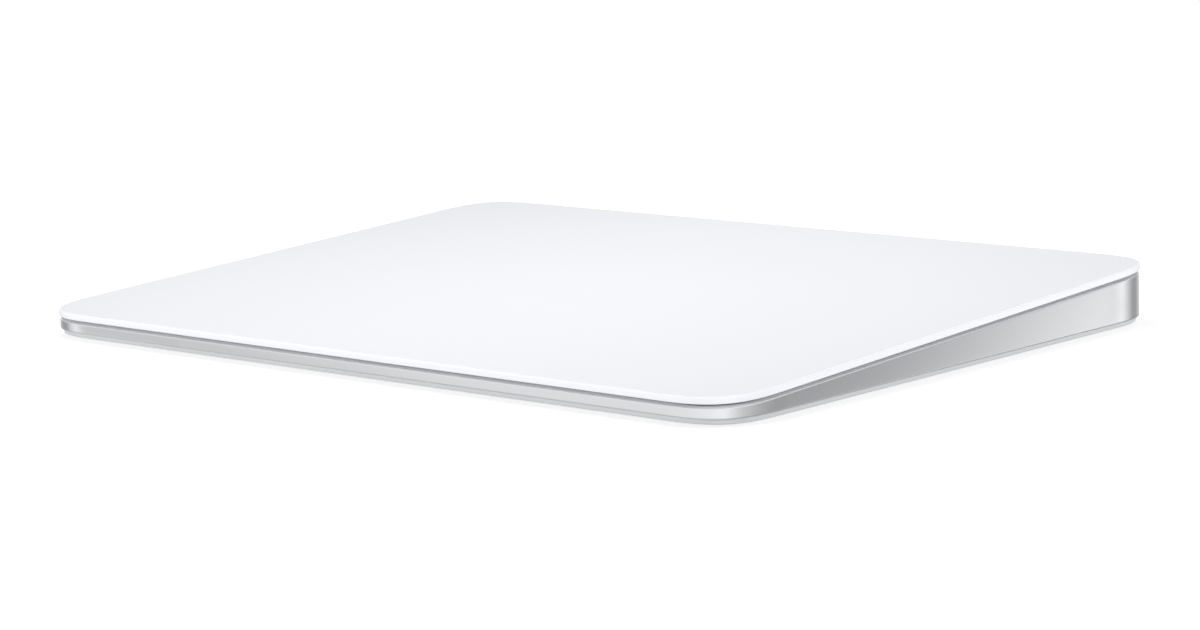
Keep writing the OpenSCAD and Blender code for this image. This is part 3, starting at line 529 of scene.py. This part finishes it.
def make_contact(number, side):
    """One contact strip, on the upper or the lower face of the tongue."""
    width, length, thickness = CONTACT
    x = (number - (CONTACTS - 1) / 2) * CONTACT_PITCH
    inner = PORT_Z + side * TONGUE[1] / 2
    outer = inner + side * thickness
    strip = block("contact", (x - width / 2, CONTACT_END - length, min(inner, outer)),
                  (x + width / 2, CONTACT_END, max(inner, outer)))
    bevel(strip, level(outer), CONTACT_EDGE_R, 2)
    return strip


def make_knob():
    """The power switch's slider, with grip grooves across its face and a stem into the switch."""
    knob = oblong("switch_slider", KNOB, KNOB_BACK, KNOB_FRONT, (KNOB_X, PORT_Z))
    bevel(knob, facing_rear(KNOB_FRONT, KNOB, (KNOB_X, PORT_Z)), KNOB_EDGE_R, 4)
    reach = KNOB[1]
    for number in (-1, 0, 1):
        x = KNOB_X + number * GROOVE_PITCH
        cut(knob, rod("groove", GROOVE_R, (x, KNOB_FRONT, PORT_Z - reach), (x, KNOB_FRONT, PORT_Z + reach),
                      sides=24))
    w, h = KNOB_STEM
    cut(knob, block("stem", (KNOB_X - w / 2, KNOB_STEM_IN, PORT_Z - h / 2),
                    (KNOB_X + w / 2, KNOB_BACK + FIT_GAP, PORT_Z + h / 2)), "UNION")
    tidy_faces(knob)
    return knob


def make_leaf(number, side, y):
    """A leaf spring with its strain gauge, both sliced across the waist, where they bend."""
    under = -LEAF_UNDER - OVERCUT
    x0, x1 = sorted((side * LEAF_TIP, side * LEAF_X1))
    leaf = block(f"leaf_spring_{number}", (x0, y - LEAF_W / 2, -LEAF_UNDER), (x1, y + LEAF_W / 2, -LEAF_TOP))
    bevel(leaf, upright, LEAF_CORNER_R, 5)
    for edge in (-1, 1):
        place = (side * WAIST_X, y + edge * LEAF_W / 2)
        cut(leaf, rod("waist", WAIST_R, (*place, under), (*place, 0)))
    for x in LEAF_SCREWS:
        cut(leaf, rod("screw_hole", SCREW_HOLE_R, (side * x, y, under), (side * x, y, 0), sides=16))

    length, width, thickness = GAUGE
    gauge = block(f"strain_gauge_{number}", (side * WAIST_X - length / 2, y - width / 2, -LEAF_TOP),
                  (side * WAIST_X + length / 2, y + width / 2, thickness - LEAF_TOP))
    bevel(gauge, upright, LEAF_CORNER_R / 2, 4)
    bevel(gauge, level(thickness - LEAF_TOP), GAUGE_EDGE_R, 2)

    for piece in (leaf, gauge):
        for step in range(BEND_STEPS + 1):
            x = side * (WAIST_END + (ROOT_X - WAIST_END) * step / BEND_STEPS)
            pick(piece, "FACE", lambda face: True)
            bpy.ops.mesh.bisect(plane_co=mm(x, 0, 0), plane_no=(1, 0, 0))
            done()
        on_deck(piece)
        tidy_faces(piece)
    return leaf, gauge


glass = make_glass()
housing = make_housing()
cover = make_cover()
rubber_feet = make_feet()
port_shell, port_tongue, port_contacts = make_port()
knob = make_knob()


# Finishes

class Tree:
    """A node tree that is wired up by name."""

    def __init__(self, tree):
        self.tree = tree

    def node(self, kind, settings=None, **inputs):
        made = self.tree.nodes.new(kind)
        for key, value in (settings or {}).items():
            setattr(made, key, value)
        for key, value in inputs.items():
            self.feed(made.inputs[key.replace("_", " ")], value)
        return made

    def feed(self, socket, value):
        if isinstance(value, bpy.types.NodeSocket):
            self.tree.links.new(value, socket)
        else:
            socket.default_value = value

    def math(self, operation, *values):
        made = self.tree.nodes.new("ShaderNodeMath")
        made.operation = operation
        for socket, value in zip(made.inputs, values):
            self.feed(socket, value)
        return made.outputs[0]

    def mix(self, factor, a, b):
        made = self.tree.nodes.new("ShaderNodeMix")
        made.data_type = "RGBA"
        for socket, value in ((made.inputs[0], factor), (made.inputs[6], a), (made.inputs[7], b)):
            self.feed(socket, value)
        return made.outputs[2]

    def spread(self, value, low, high, to_low, to_high):
        """Stretches a value from one range to another, softly at both ends."""
        made = self.node("ShaderNodeMapRange", {"interpolation_type": "SMOOTHSTEP"}, Value=value)
        for key, number in zip(("From Min", "From Max", "To Min", "To Max"), (low, high, to_low, to_high)):
            self.feed(made.inputs[key], number)
        return made.outputs[0]


def new_group(name, inputs, outputs):
    """A shared effect: returns its tree, its inputs and its end node."""
    group = bpy.data.node_groups.new(name, "ShaderNodeTree")
    for label, kind, value in inputs:
        group.interface.new_socket(label, in_out="INPUT", socket_type=kind).default_value = value
    for label, kind in outputs:
        group.interface.new_socket(label, in_out="OUTPUT", socket_type=kind)
    tree = Tree(group)
    return tree, tree.node("NodeGroupInput").outputs, tree.node("NodeGroupOutput").inputs


FLOAT, COLOUR, VECTOR = "NodeSocketFloat", "NodeSocketColor", "NodeSocketVector"


def make_grain_group():
    """Fine blasted or moulded grain: a height and a speckle mask."""
    tree, given, out = new_group(
        "fine_grain", [("Scale", FLOAT, 6000.0)], [("Height", FLOAT), ("Speckle", FLOAT)])
    place = tree.node("ShaderNodeTexCoord").outputs["Object"]
    coarse = tree.node("ShaderNodeTexNoise", Vector=place, Scale=given["Scale"], Detail=2.0).outputs["Fac"]
    pits = tree.node("ShaderNodeTexVoronoi", Vector=place, Scale=given["Scale"]).outputs["Distance"]
    height = tree.math("ADD", tree.math("MULTIPLY", coarse, 0.65), tree.math("MULTIPLY", pits, 0.35))
    tree.feed(out["Height"], height)
    tree.feed(out["Speckle"], tree.spread(coarse, 0.35, 0.65, 0.0, 1.0))
    return tree.tree


def make_drift_group():
    """Slow drift of a colour over a large surface."""
    tree, given, out = new_group(
        "tone_drift",
        [("Colour", COLOUR, (1, 1, 1, 1)), ("Other", COLOUR, (0.9, 0.9, 0.9, 1)), ("Scale", FLOAT, 20.0)],
        [("Colour", COLOUR)])
    place = tree.node("ShaderNodeTexCoord").outputs["Object"]
    cloud = tree.node("ShaderNodeTexNoise", Vector=place, Scale=given["Scale"], Detail=3.0,
                      Roughness=0.5).outputs["Fac"]
    mask = tree.spread(cloud, 0.3, 0.7, 0.0, 1.0)
    tree.feed(out["Colour"], tree.mix(mask, given["Colour"], given["Other"]))
    return tree.tree


def make_marks_group():
    """Faint smudges and wipe marks that change how a surface shines."""
    tree, given, out = new_group(
        "handling_marks", [("Roughness", FLOAT, 0.3), ("Smudge", FLOAT, 0.05), ("Scale", FLOAT, 40.0)],
        [("Roughness", FLOAT)])
    place = tree.node("ShaderNodeTexCoord").outputs["Object"]
    wiped = tree.node("ShaderNodeMapping", Vector=place, Scale=(1.0, 0.35, 1.0), Rotation=(0.0, 0.0, 0.6))
    streaks = tree.node("ShaderNodeTexNoise", Vector=wiped.outputs[0], Scale=given["Scale"], Detail=5.0,
                        Distortion=0.8).outputs["Fac"]
    patches = tree.node("ShaderNodeTexNoise", Vector=place, Scale=given["Scale"], Detail=1.0).outputs["Fac"]
    smudge = tree.math("MULTIPLY", tree.spread(streaks, 0.42, 0.7, 0.0, 1.0),
                       tree.spread(patches, 0.4, 0.65, 0.0, 1.0))
    duller = tree.math("MULTIPLY", smudge, given["Smudge"])
    tree.feed(out["Roughness"], tree.math("ADD", given["Roughness"], duller))
    return tree.tree


def make_lines_group():
    """Fine parallel lines, as on rolled sheet, laminations, windings and printed cables."""
    tree, given, out = new_group(
        "fine_lines", [("Stretch", VECTOR, (1.0, 1.0, 1.0)), ("Scale", FLOAT, 1000.0)],
        [("Height", FLOAT), ("Mask", FLOAT)])
    place = tree.node("ShaderNodeTexCoord").outputs["Object"]
    long_way = tree.node("ShaderNodeVectorMath", {"operation": "MULTIPLY"})
    tree.feed(long_way.inputs[0], place)
    tree.feed(long_way.inputs[1], given["Stretch"])
    lines = tree.node("ShaderNodeTexNoise", Vector=long_way.outputs[0], Scale=given["Scale"],
                      Detail=2.0).outputs["Fac"]
    tree.feed(out["Height"], lines)
    tree.feed(out["Mask"], tree.spread(lines, 0.4, 0.6, 0.0, 1.0))
    return tree.tree


# The ledge under the glass is matte, and painted paler than the metal: painted light that lifts the shade in
# the gap.
LEDGE_REACH = 0.06
LEDGE_ROUGHER = 0.5
LEDGE_PAINTED_LIGHT = (0.93, 0.93, 0.935, 1)


def make_ledge_group():
    """Mask of the housing's ledge right under the edge of the glass: a matte milled face, painted paler as
    light in the shadow gap.
    """
    tree, given, out = new_group("ledge_mask", [("Reach", FLOAT, LEDGE_REACH * MM)], [("Mask", FLOAT)])
    place = tree.node("ShaderNodeTexCoord").outputs["Object"]
    height = tree.node("ShaderNodeVectorMath", {"operation": "DOT_PRODUCT"})
    tree.feed(height.inputs[0], place)
    tree.feed(height.inputs[1], DECK_NORMAL)
    ledge_height = (MID_H * cos(TILT) - RIM_TOP) * MM
    depth = tree.math("SUBTRACT", ledge_height, height.outputs["Value"])
    tree.feed(out["Mask"], tree.math("LESS_THAN", depth, given["Reach"]))
    return tree.tree


GRAIN = make_grain_group()
DRIFT = make_drift_group()
MARKS = make_marks_group()
LINES = make_lines_group()
LEDGE = make_ledge_group()


def effect(tree, group, **inputs):
    return tree.node("ShaderNodeGroup", {"node_tree": group}, **inputs).outputs


def finish(name, colour, other, roughness, metallic=0.0, *, drift, smudge, grain,
           speckle=0.0, lines=None, ledge=False, **fixed):
    """A finish: a drifting colour, smudged gloss and grain, and on some pieces fine lines or a matte ledge
    painted paler as light.

    smudge is its strength and scale; grain is its scale, its depth in millimetres and its strength;
    lines are their stretch, scale, colour and weight.
    """
    material = bpy.data.materials.new(name)
    material.use_nodes = True
    material.node_tree.nodes.clear()
    tree = Tree(material.node_tree)
    base = effect(tree, DRIFT, Colour=(*colour, 1.0), Other=(*other, 1.0), Scale=drift)["Colour"]
    gloss = effect(tree, MARKS, Roughness=roughness, Smudge=smudge[0], Scale=smudge[1])["Roughness"]
    grit = effect(tree, GRAIN, Scale=grain[0])
    height = grit["Height"]
    if speckle:
        base = tree.mix(tree.math("MULTIPLY", grit["Speckle"], speckle), base, (*other, 1.0))
    if lines:
        stretch, scale, line_colour, weight = lines
        rows = effect(tree, LINES, Stretch=stretch, Scale=scale)
        base = tree.mix(tree.math("MULTIPLY", rows["Mask"], weight), base, (*line_colour, 1.0))
        height = tree.math("ADD", tree.math("MULTIPLY", height, 0.3), rows["Height"])
    # Painted light: the matte ledge takes a paler colour that brightens the dark gap under the glass.
    if ledge:
        matte = effect(tree, LEDGE)["Mask"]
        gloss = tree.math("ADD", gloss, tree.math("MULTIPLY", matte, LEDGE_ROUGHER))
        metallic = tree.math("SUBTRACT", metallic, matte)
        base = tree.mix(matte, base, LEDGE_PAINTED_LIGHT)
    bump = tree.node("ShaderNodeBump", Strength=grain[2], Distance=grain[1] * MM, Height=height)
    shader = tree.node("ShaderNodeBsdfPrincipled", Base_Color=base, Roughness=gloss, Metallic=metallic,
                       Normal=bump.outputs[0])
    for key, value in fixed.items():
        shader.inputs[key.replace("_", " ")].default_value = value
    tree.node("ShaderNodeOutputMaterial", Surface=shader.outputs[0])
    return material


FINISHES = {
    "glass_white": finish(
        "etched_white_glass", (0.86, 0.87, 0.908), (0.852, 0.862, 0.9), 0.24, drift=9.0, smudge=(0.008, 22.0),
        grain=(9000.0, 0.001, 0.06), IOR=1.52),
    "aluminium": finish(
        "blasted_aluminium", (0.795, 0.805, 0.825), (0.78, 0.79, 0.81), 0.15, 1.0, drift=30.0,
        smudge=(0.03, 60.0), grain=(7000.0, 0.002, 0.08), speckle=0.35, ledge=True),
    # Painted shade: the cover's plastic is greyer than its own pale colour, standing in for the contact shade
    # under the wall, which the floor does not cast on it.
    "cover_plastic": finish(
        "cover_plastic_with_painted_shade", (0.57, 0.58, 0.59), (0.545, 0.555, 0.565), 0.5, drift=18.0, smudge=(0.1, 30.0),
        grain=(4500.0, 0.012, 0.4), speckle=0.3),
    "foot_rubber": finish(
        "pale_rubber", (0.74, 0.745, 0.75), (0.7, 0.705, 0.71), 0.78, drift=160.0, smudge=(0.1, 200.0),
        grain=(5000.0, 0.012, 0.5), speckle=0.4, Specular_IOR_Level=0.3),
    "knob_plastic": finish(
        "slider_plastic", (0.74, 0.75, 0.76), (0.71, 0.72, 0.73), 0.42, drift=300.0, smudge=(0.1, 300.0),
        grain=(9000.0, 0.005, 0.35), speckle=0.25),
    "indicator_green": finish(
        "green_paint", (0.05, 0.42, 0.12), (0.04, 0.36, 0.1), 0.45, drift=400.0, smudge=(0.1, 300.0),
        grain=(8000.0, 0.004, 0.3), speckle=0.3),
    "steel": finish(
        "rolled_steel", (0.58, 0.585, 0.59), (0.52, 0.525, 0.53), 0.32, 1.0, drift=60.0, smudge=(0.12, 90.0),
        grain=(6000.0, 0.004, 0.3), lines=((1.0, 0.04, 1.0), 5000.0, (0.48, 0.485, 0.49), 0.35)),
    "soft_iron": finish(
        "laminated_iron", (0.3, 0.305, 0.31), (0.26, 0.262, 0.265), 0.45, 1.0, drift=80.0, smudge=(0.1, 90.0),
        grain=(5000.0, 0.01, 0.4), lines=((0.02, 0.02, 1.0), 3500.0, (0.16, 0.16, 0.165), 0.6)),
    "copper": finish(
        "enamelled_copper", (0.66, 0.3, 0.13), (0.58, 0.25, 0.1), 0.3, 1.0, drift=120.0, smudge=(0.1, 120.0),
        grain=(6000.0, 0.02, 0.6), lines=((1.0, 0.02, 0.02), 5000.0, (0.34, 0.13, 0.05), 0.7)),
    "contact_gold": finish(
        "plated_contacts", (0.83, 0.6, 0.24), (0.78, 0.54, 0.2), 0.22, 1.0, drift=600.0, smudge=(0.12, 500.0),
        grain=(9000.0, 0.002, 0.25), lines=((1.0, 0.05, 1.0), 9000.0, (0.62, 0.42, 0.14), 0.4)),
    "board_green": finish(
        "solder_mask", (0.02, 0.13, 0.06), (0.015, 0.1, 0.05), 0.35, drift=120.0, smudge=(0.1, 90.0),
        grain=(3000.0, 0.008, 0.3), lines=((1.0, 0.06, 1.0), 1500.0, (0.03, 0.2, 0.09), 0.6)),
    "board_black": finish(
        "moulded_black", (0.03, 0.03, 0.033), (0.022, 0.022, 0.025), 0.48, drift=150.0, smudge=(0.12, 120.0),
        grain=(5000.0, 0.01, 0.45), speckle=0.4),
    "board_white": finish(
        "white_solder_mask", (0.74, 0.75, 0.74), (0.7, 0.71, 0.7), 0.4, drift=120.0, smudge=(0.1, 90.0),
        grain=(3000.0, 0.008, 0.3), lines=((1.0, 0.06, 1.0), 1500.0, (0.8, 0.81, 0.8), 0.5)),
    "connector_cream": finish(
        "connector_plastic", (0.68, 0.63, 0.5), (0.62, 0.57, 0.44), 0.5, drift=300.0, smudge=(0.1, 300.0),
        grain=(7000.0, 0.006, 0.35), speckle=0.3),
    "cable_amber": finish(
        "printed_cable", (0.4, 0.17, 0.03), (0.34, 0.14, 0.025), 0.34, drift=150.0, smudge=(0.1, 120.0),
        grain=(5000.0, 0.004, 0.3), lines=((0.05, 1.0, 0.05), 2200.0, (0.5, 0.24, 0.06), 0.3)),
    "adhesive_dark": finish(
        "dark_tape", (0.045, 0.045, 0.05), (0.035, 0.035, 0.04), 0.6, drift=60.0, smudge=(0.1, 60.0),
        grain=(2500.0, 0.02, 0.4), speckle=0.4),
    "adhesive_pale": finish(
        "pale_tape", (0.7, 0.69, 0.62), (0.64, 0.63, 0.56), 0.55, drift=90.0, smudge=(0.1, 60.0),
        grain=(2500.0, 0.02, 0.4), speckle=0.3),
    "gel": finish(
        "soft_gel", (0.4, 0.47, 0.52), (0.34, 0.41, 0.46), 0.2, drift=200.0, smudge=(0.15, 200.0),
        grain=(1500.0, 0.01, 0.3), Transmission_Weight=0.4, IOR=1.41),
    "cell_foil": finish(
        "pouch_foil", (0.12, 0.123, 0.13), (0.1, 0.103, 0.11), 0.38, 0.6, drift=45.0, smudge=(0.12, 50.0),
        grain=(900.0, 0.02, 0.35), speckle=0.3),
}


def dress(piece, slot):
    piece.data.materials.clear()
    piece.data.materials.append(FINISHES[slot])


def fit(piece, body, node, slot):
    """Gives a piece its finish and its body, and hides the solid that it stands for."""
    dress(piece, slot)
    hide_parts(node)
    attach(piece, body)


fit(glass, "touch_plate", "glass_plate", "glass_white")
fit(housing, "housing", "housing", "aluminium")
fit(cover, "housing", "bottom_cover", "cover_plastic")
for foot in rubber_feet:
    fit(foot, "housing", "rubber_feet", "foot_rubber")
fit(port_shell, "housing", "charge_port_shell", "steel")
fit(port_tongue, "housing", "charge_port_tongue", "board_black")
fit(port_contacts, "housing", "port_contacts", "contact_gold")
fit(knob, "power_switch", "switch_knob", "knob_plastic")

for number, (x, y) in enumerate(corners(1, LEAF_Y), 1):
    leaf, gauge = make_leaf(number, x, y)
    for piece, node, slot in ((leaf, "force_flexures", "steel"), (gauge, "strain_gauges", "cable_amber")):
        dress(piece, slot)
        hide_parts(node)
        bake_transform(piece)

for entry in frame["record"]["subparts"]:
    solid = frame["nodes"][entry["node"]]
    for place in solid.material_slots:
        place.material = FINISHES[entry["material_slot"]]


# Studio

CAMERA_AZIMUTH = 42.59
CAMERA_ELEVATION = 9.433
CAMERA_DISTANCE = 580.0
CAMERA_TARGET = (11.84, -10.0, 5.015)
CAMERA_ROLL = -1.917
CAMERA_LENS = 102.75
CAMERA_NEAR = 20.0
SENSOR_W = 36
WHITE = (1, 1, 1, 1)


def set_camera():
    azimuth, elevation, roll = radians(CAMERA_AZIMUTH), radians(CAMERA_ELEVATION), radians(CAMERA_ROLL)
    back = Vector((sin(azimuth) * cos(elevation), -cos(azimuth) * cos(elevation), sin(elevation)))
    right = Vector((0, 0, 1)).cross(back).normalized()
    up = back.cross(right)
    right, up = right * cos(roll) + up * sin(roll), up * cos(roll) - right * sin(roll)
    camera = bpy.data.objects.new("camera", bpy.data.cameras.new("camera"))
    bpy.context.scene.collection.objects.link(camera)
    stand = Matrix.Translation(mm(*CAMERA_TARGET) + back * CAMERA_DISTANCE * MM)
    camera.matrix_world = stand @ Matrix((right, up, back)).transposed().to_4x4()
    camera.data.sensor_fit = "HORIZONTAL"
    camera.data.sensor_width = SENSOR_W
    camera.data.lens = CAMERA_LENS
    camera.data.clip_start = CAMERA_NEAR * MM
    bpy.context.scene.camera = camera


# Soft panels round the object, as its metal mirrors them: degrees round from +X, and brightness
PANELS = (
    (180, 0.40),
    (195, 0.40),
    (213, 1.10),
    (220, 0.52),
    (224, 0.90),
    (318, 1.10),
    (360, 0.70),
    (405, 0.43),
    (412.5, 0.33),
    (417, 1.45),
    (422, 0.85),
    (432, 0.40),
    (445, 0.40),
    (455, 0.60),
    (490, 0.85),
    (525, 0.60),
    (540, 0.40),
)
PANELS_FROM = PANELS[0][0]

# The rest of the world, by how far a ray points up (Z) or back (Y): from, to, and the levels there
GROUND_FRONT_TO_REAR = (-0.3, 0.3, 0.72, 0.40)
GROUND_TO_PANELS = (-0.40, -0.27, 0.6, 0.0)
PANELS_TO_SKY = (-0.035, 0.30, 0.0, 1.0)
LIGHT_FROM_BELOW = (-0.75, -0.3, 0.5, 0.86)
BELOW_TO_ABOVE = (-0.1, 0.1, 0.0, 1.0)
MIRRORED_SKY = (1, 1, 1.02, 1)
LIGHT_FROM_ABOVE = (0.335, 0.335, 0.335, 1)


def set_world():
    """White for the camera; softer levels for what the surfaces gather, and panels for what they mirror."""
    world = bpy.data.worlds.new("studio")
    bpy.context.scene.world = world
    world.use_nodes = True
    world.node_tree.nodes.clear()
    tree = Tree(world.node_tree)
    way = tree.node("ShaderNodeTexCoord").outputs["Generated"]
    turn = tree.node("ShaderNodeTexGradient", {"gradient_type": "RADIAL"}, Vector=way).outputs["Fac"]
    panels = tree.node("ShaderNodeValToRGB", Fac=turn)
    stops = panels.color_ramp.elements
    for angle, light in PANELS:
        at = (angle - PANELS_FROM) / 360
        stop = stops[0] if at == 0 else stops[-1] if at == 1 else stops.new(at)
        stop.color = (light, light, light, 1)
    along = tree.node("ShaderNodeSeparateXYZ", Vector=way).outputs
    ground = tree.spread(along["Y"], *GROUND_FRONT_TO_REAR)
    low = tree.mix(tree.spread(along["Z"], *GROUND_TO_PANELS), panels.outputs["Color"], ground)
    mirrored = tree.mix(tree.spread(along["Z"], *PANELS_TO_SKY), low, MIRRORED_SKY)
    bounce = tree.spread(along["Z"], *LIGHT_FROM_BELOW)
    gathered = tree.mix(tree.spread(along["Z"], *BELOW_TO_ABOVE), bounce, LIGHT_FROM_ABOVE)
    path = tree.node("ShaderNodeLightPath").outputs
    seen = tree.math("MAXIMUM", path["Is Camera Ray"], path["Is Transmission Ray"])
    on_surfaces = tree.mix(path["Is Glossy Ray"], gathered, mirrored)
    colour = tree.mix(seen, on_surfaces, WHITE)
    background = tree.node("ShaderNodeBackground", Color=colour, Strength=1.0)
    tree.node("ShaderNodeOutputWorld", Surface=background.outputs[0])


def softbox(name, place, aim, size, power):
    """A soft lamp that lights the surfaces; what they mirror is the world's part."""
    lamp = bpy.data.lights.new(name, "AREA")
    lamp.shape = "RECTANGLE"
    lamp.size, lamp.size_y = size
    lamp.energy = power
    lit = bpy.data.objects.new(name, lamp)
    bpy.context.scene.collection.objects.link(lit)
    lit.location = place
    lit.rotation_euler = (Vector(aim) - Vector(place)).to_track_quat("-Z", "Y").to_euler()
    lit.visible_glossy = False


FLOOR_W = 6000.0
FLOOR_GAP = 0.03
FLOOR_TONE = (0.8, 0.8, 0.8, 1)
# The floor's own light, in metres from the middle: from, to, and the levels there
FLOOR_GLOW = (0.12, 0.5, 0.56, 0.8)


def set_floor():
    """The white floor: bright for the eye, with the shade under the object kept, and clear from below."""
    bpy.ops.object.select_all(action="DESELECT")
    bpy.ops.mesh.primitive_plane_add(size=FLOOR_W * MM, location=mm(0, 0, -FLOOR_GAP))
    floor = bpy.context.active_object
    floor.name = "floor"
    paint = bpy.data.materials.new("floor_paint")
    paint.use_nodes = True
    paint.node_tree.nodes.clear()
    tree = Tree(paint.node_tree)
    path = tree.node("ShaderNodeLightPath").outputs
    seen = tree.math("MAXIMUM", path["Is Camera Ray"], path["Is Transmission Ray"])
    far = tree.node("ShaderNodeVectorMath", {"operation": "LENGTH"})
    tree.feed(far.inputs[0], tree.node("ShaderNodeTexCoord").outputs["Object"])
    lift = tree.spread(far.outputs["Value"], *FLOOR_GLOW)
    glow = tree.node("ShaderNodeEmission", Color=WHITE, Strength=tree.math("MULTIPLY", seen, lift))
    matte = tree.node("ShaderNodeBsdfDiffuse", Color=FLOOR_TONE)
    both = tree.node("ShaderNodeAddShader")
    tree.feed(both.inputs[0], glow.outputs[0])
    tree.feed(both.inputs[1], matte.outputs[0])
    below = tree.node("ShaderNodeNewGeometry").outputs["Backfacing"]
    one_sided = tree.node("ShaderNodeMixShader")
    clear = tree.node("ShaderNodeBsdfTransparent")
    for socket, value in zip(one_sided.inputs, (below, both.outputs[0], clear.outputs[0])):
        tree.feed(socket, value)
    tree.node("ShaderNodeOutputMaterial", Surface=one_sided.outputs[0])
    floor.data.materials.append(paint)
    floor.visible_glossy = False
    floor.visible_diffuse = False


# Each lamp's name, place, aim and size in metres, and its power in watts
SOFTBOXES = (
    ("overhead_softbox", (0.0, -0.025, 0.2), (0.0, -0.025, 0), (0.13, 0.13), 0.208),
    ("front_softbox", (-0.34, -1.45, 0.28), (0, 0, 0), (0.7, 0.4), 13.5),
    ("right_softbox", (1.45, 0.34, 0.28), (0, 0, 0), (0.7, 0.4), 13.6),
)

set_camera()
set_world()
set_floor()
for lamp in SOFTBOXES:
    softbox(*lamp)
bpy.context.scene.view_settings.view_transform = "Standard"
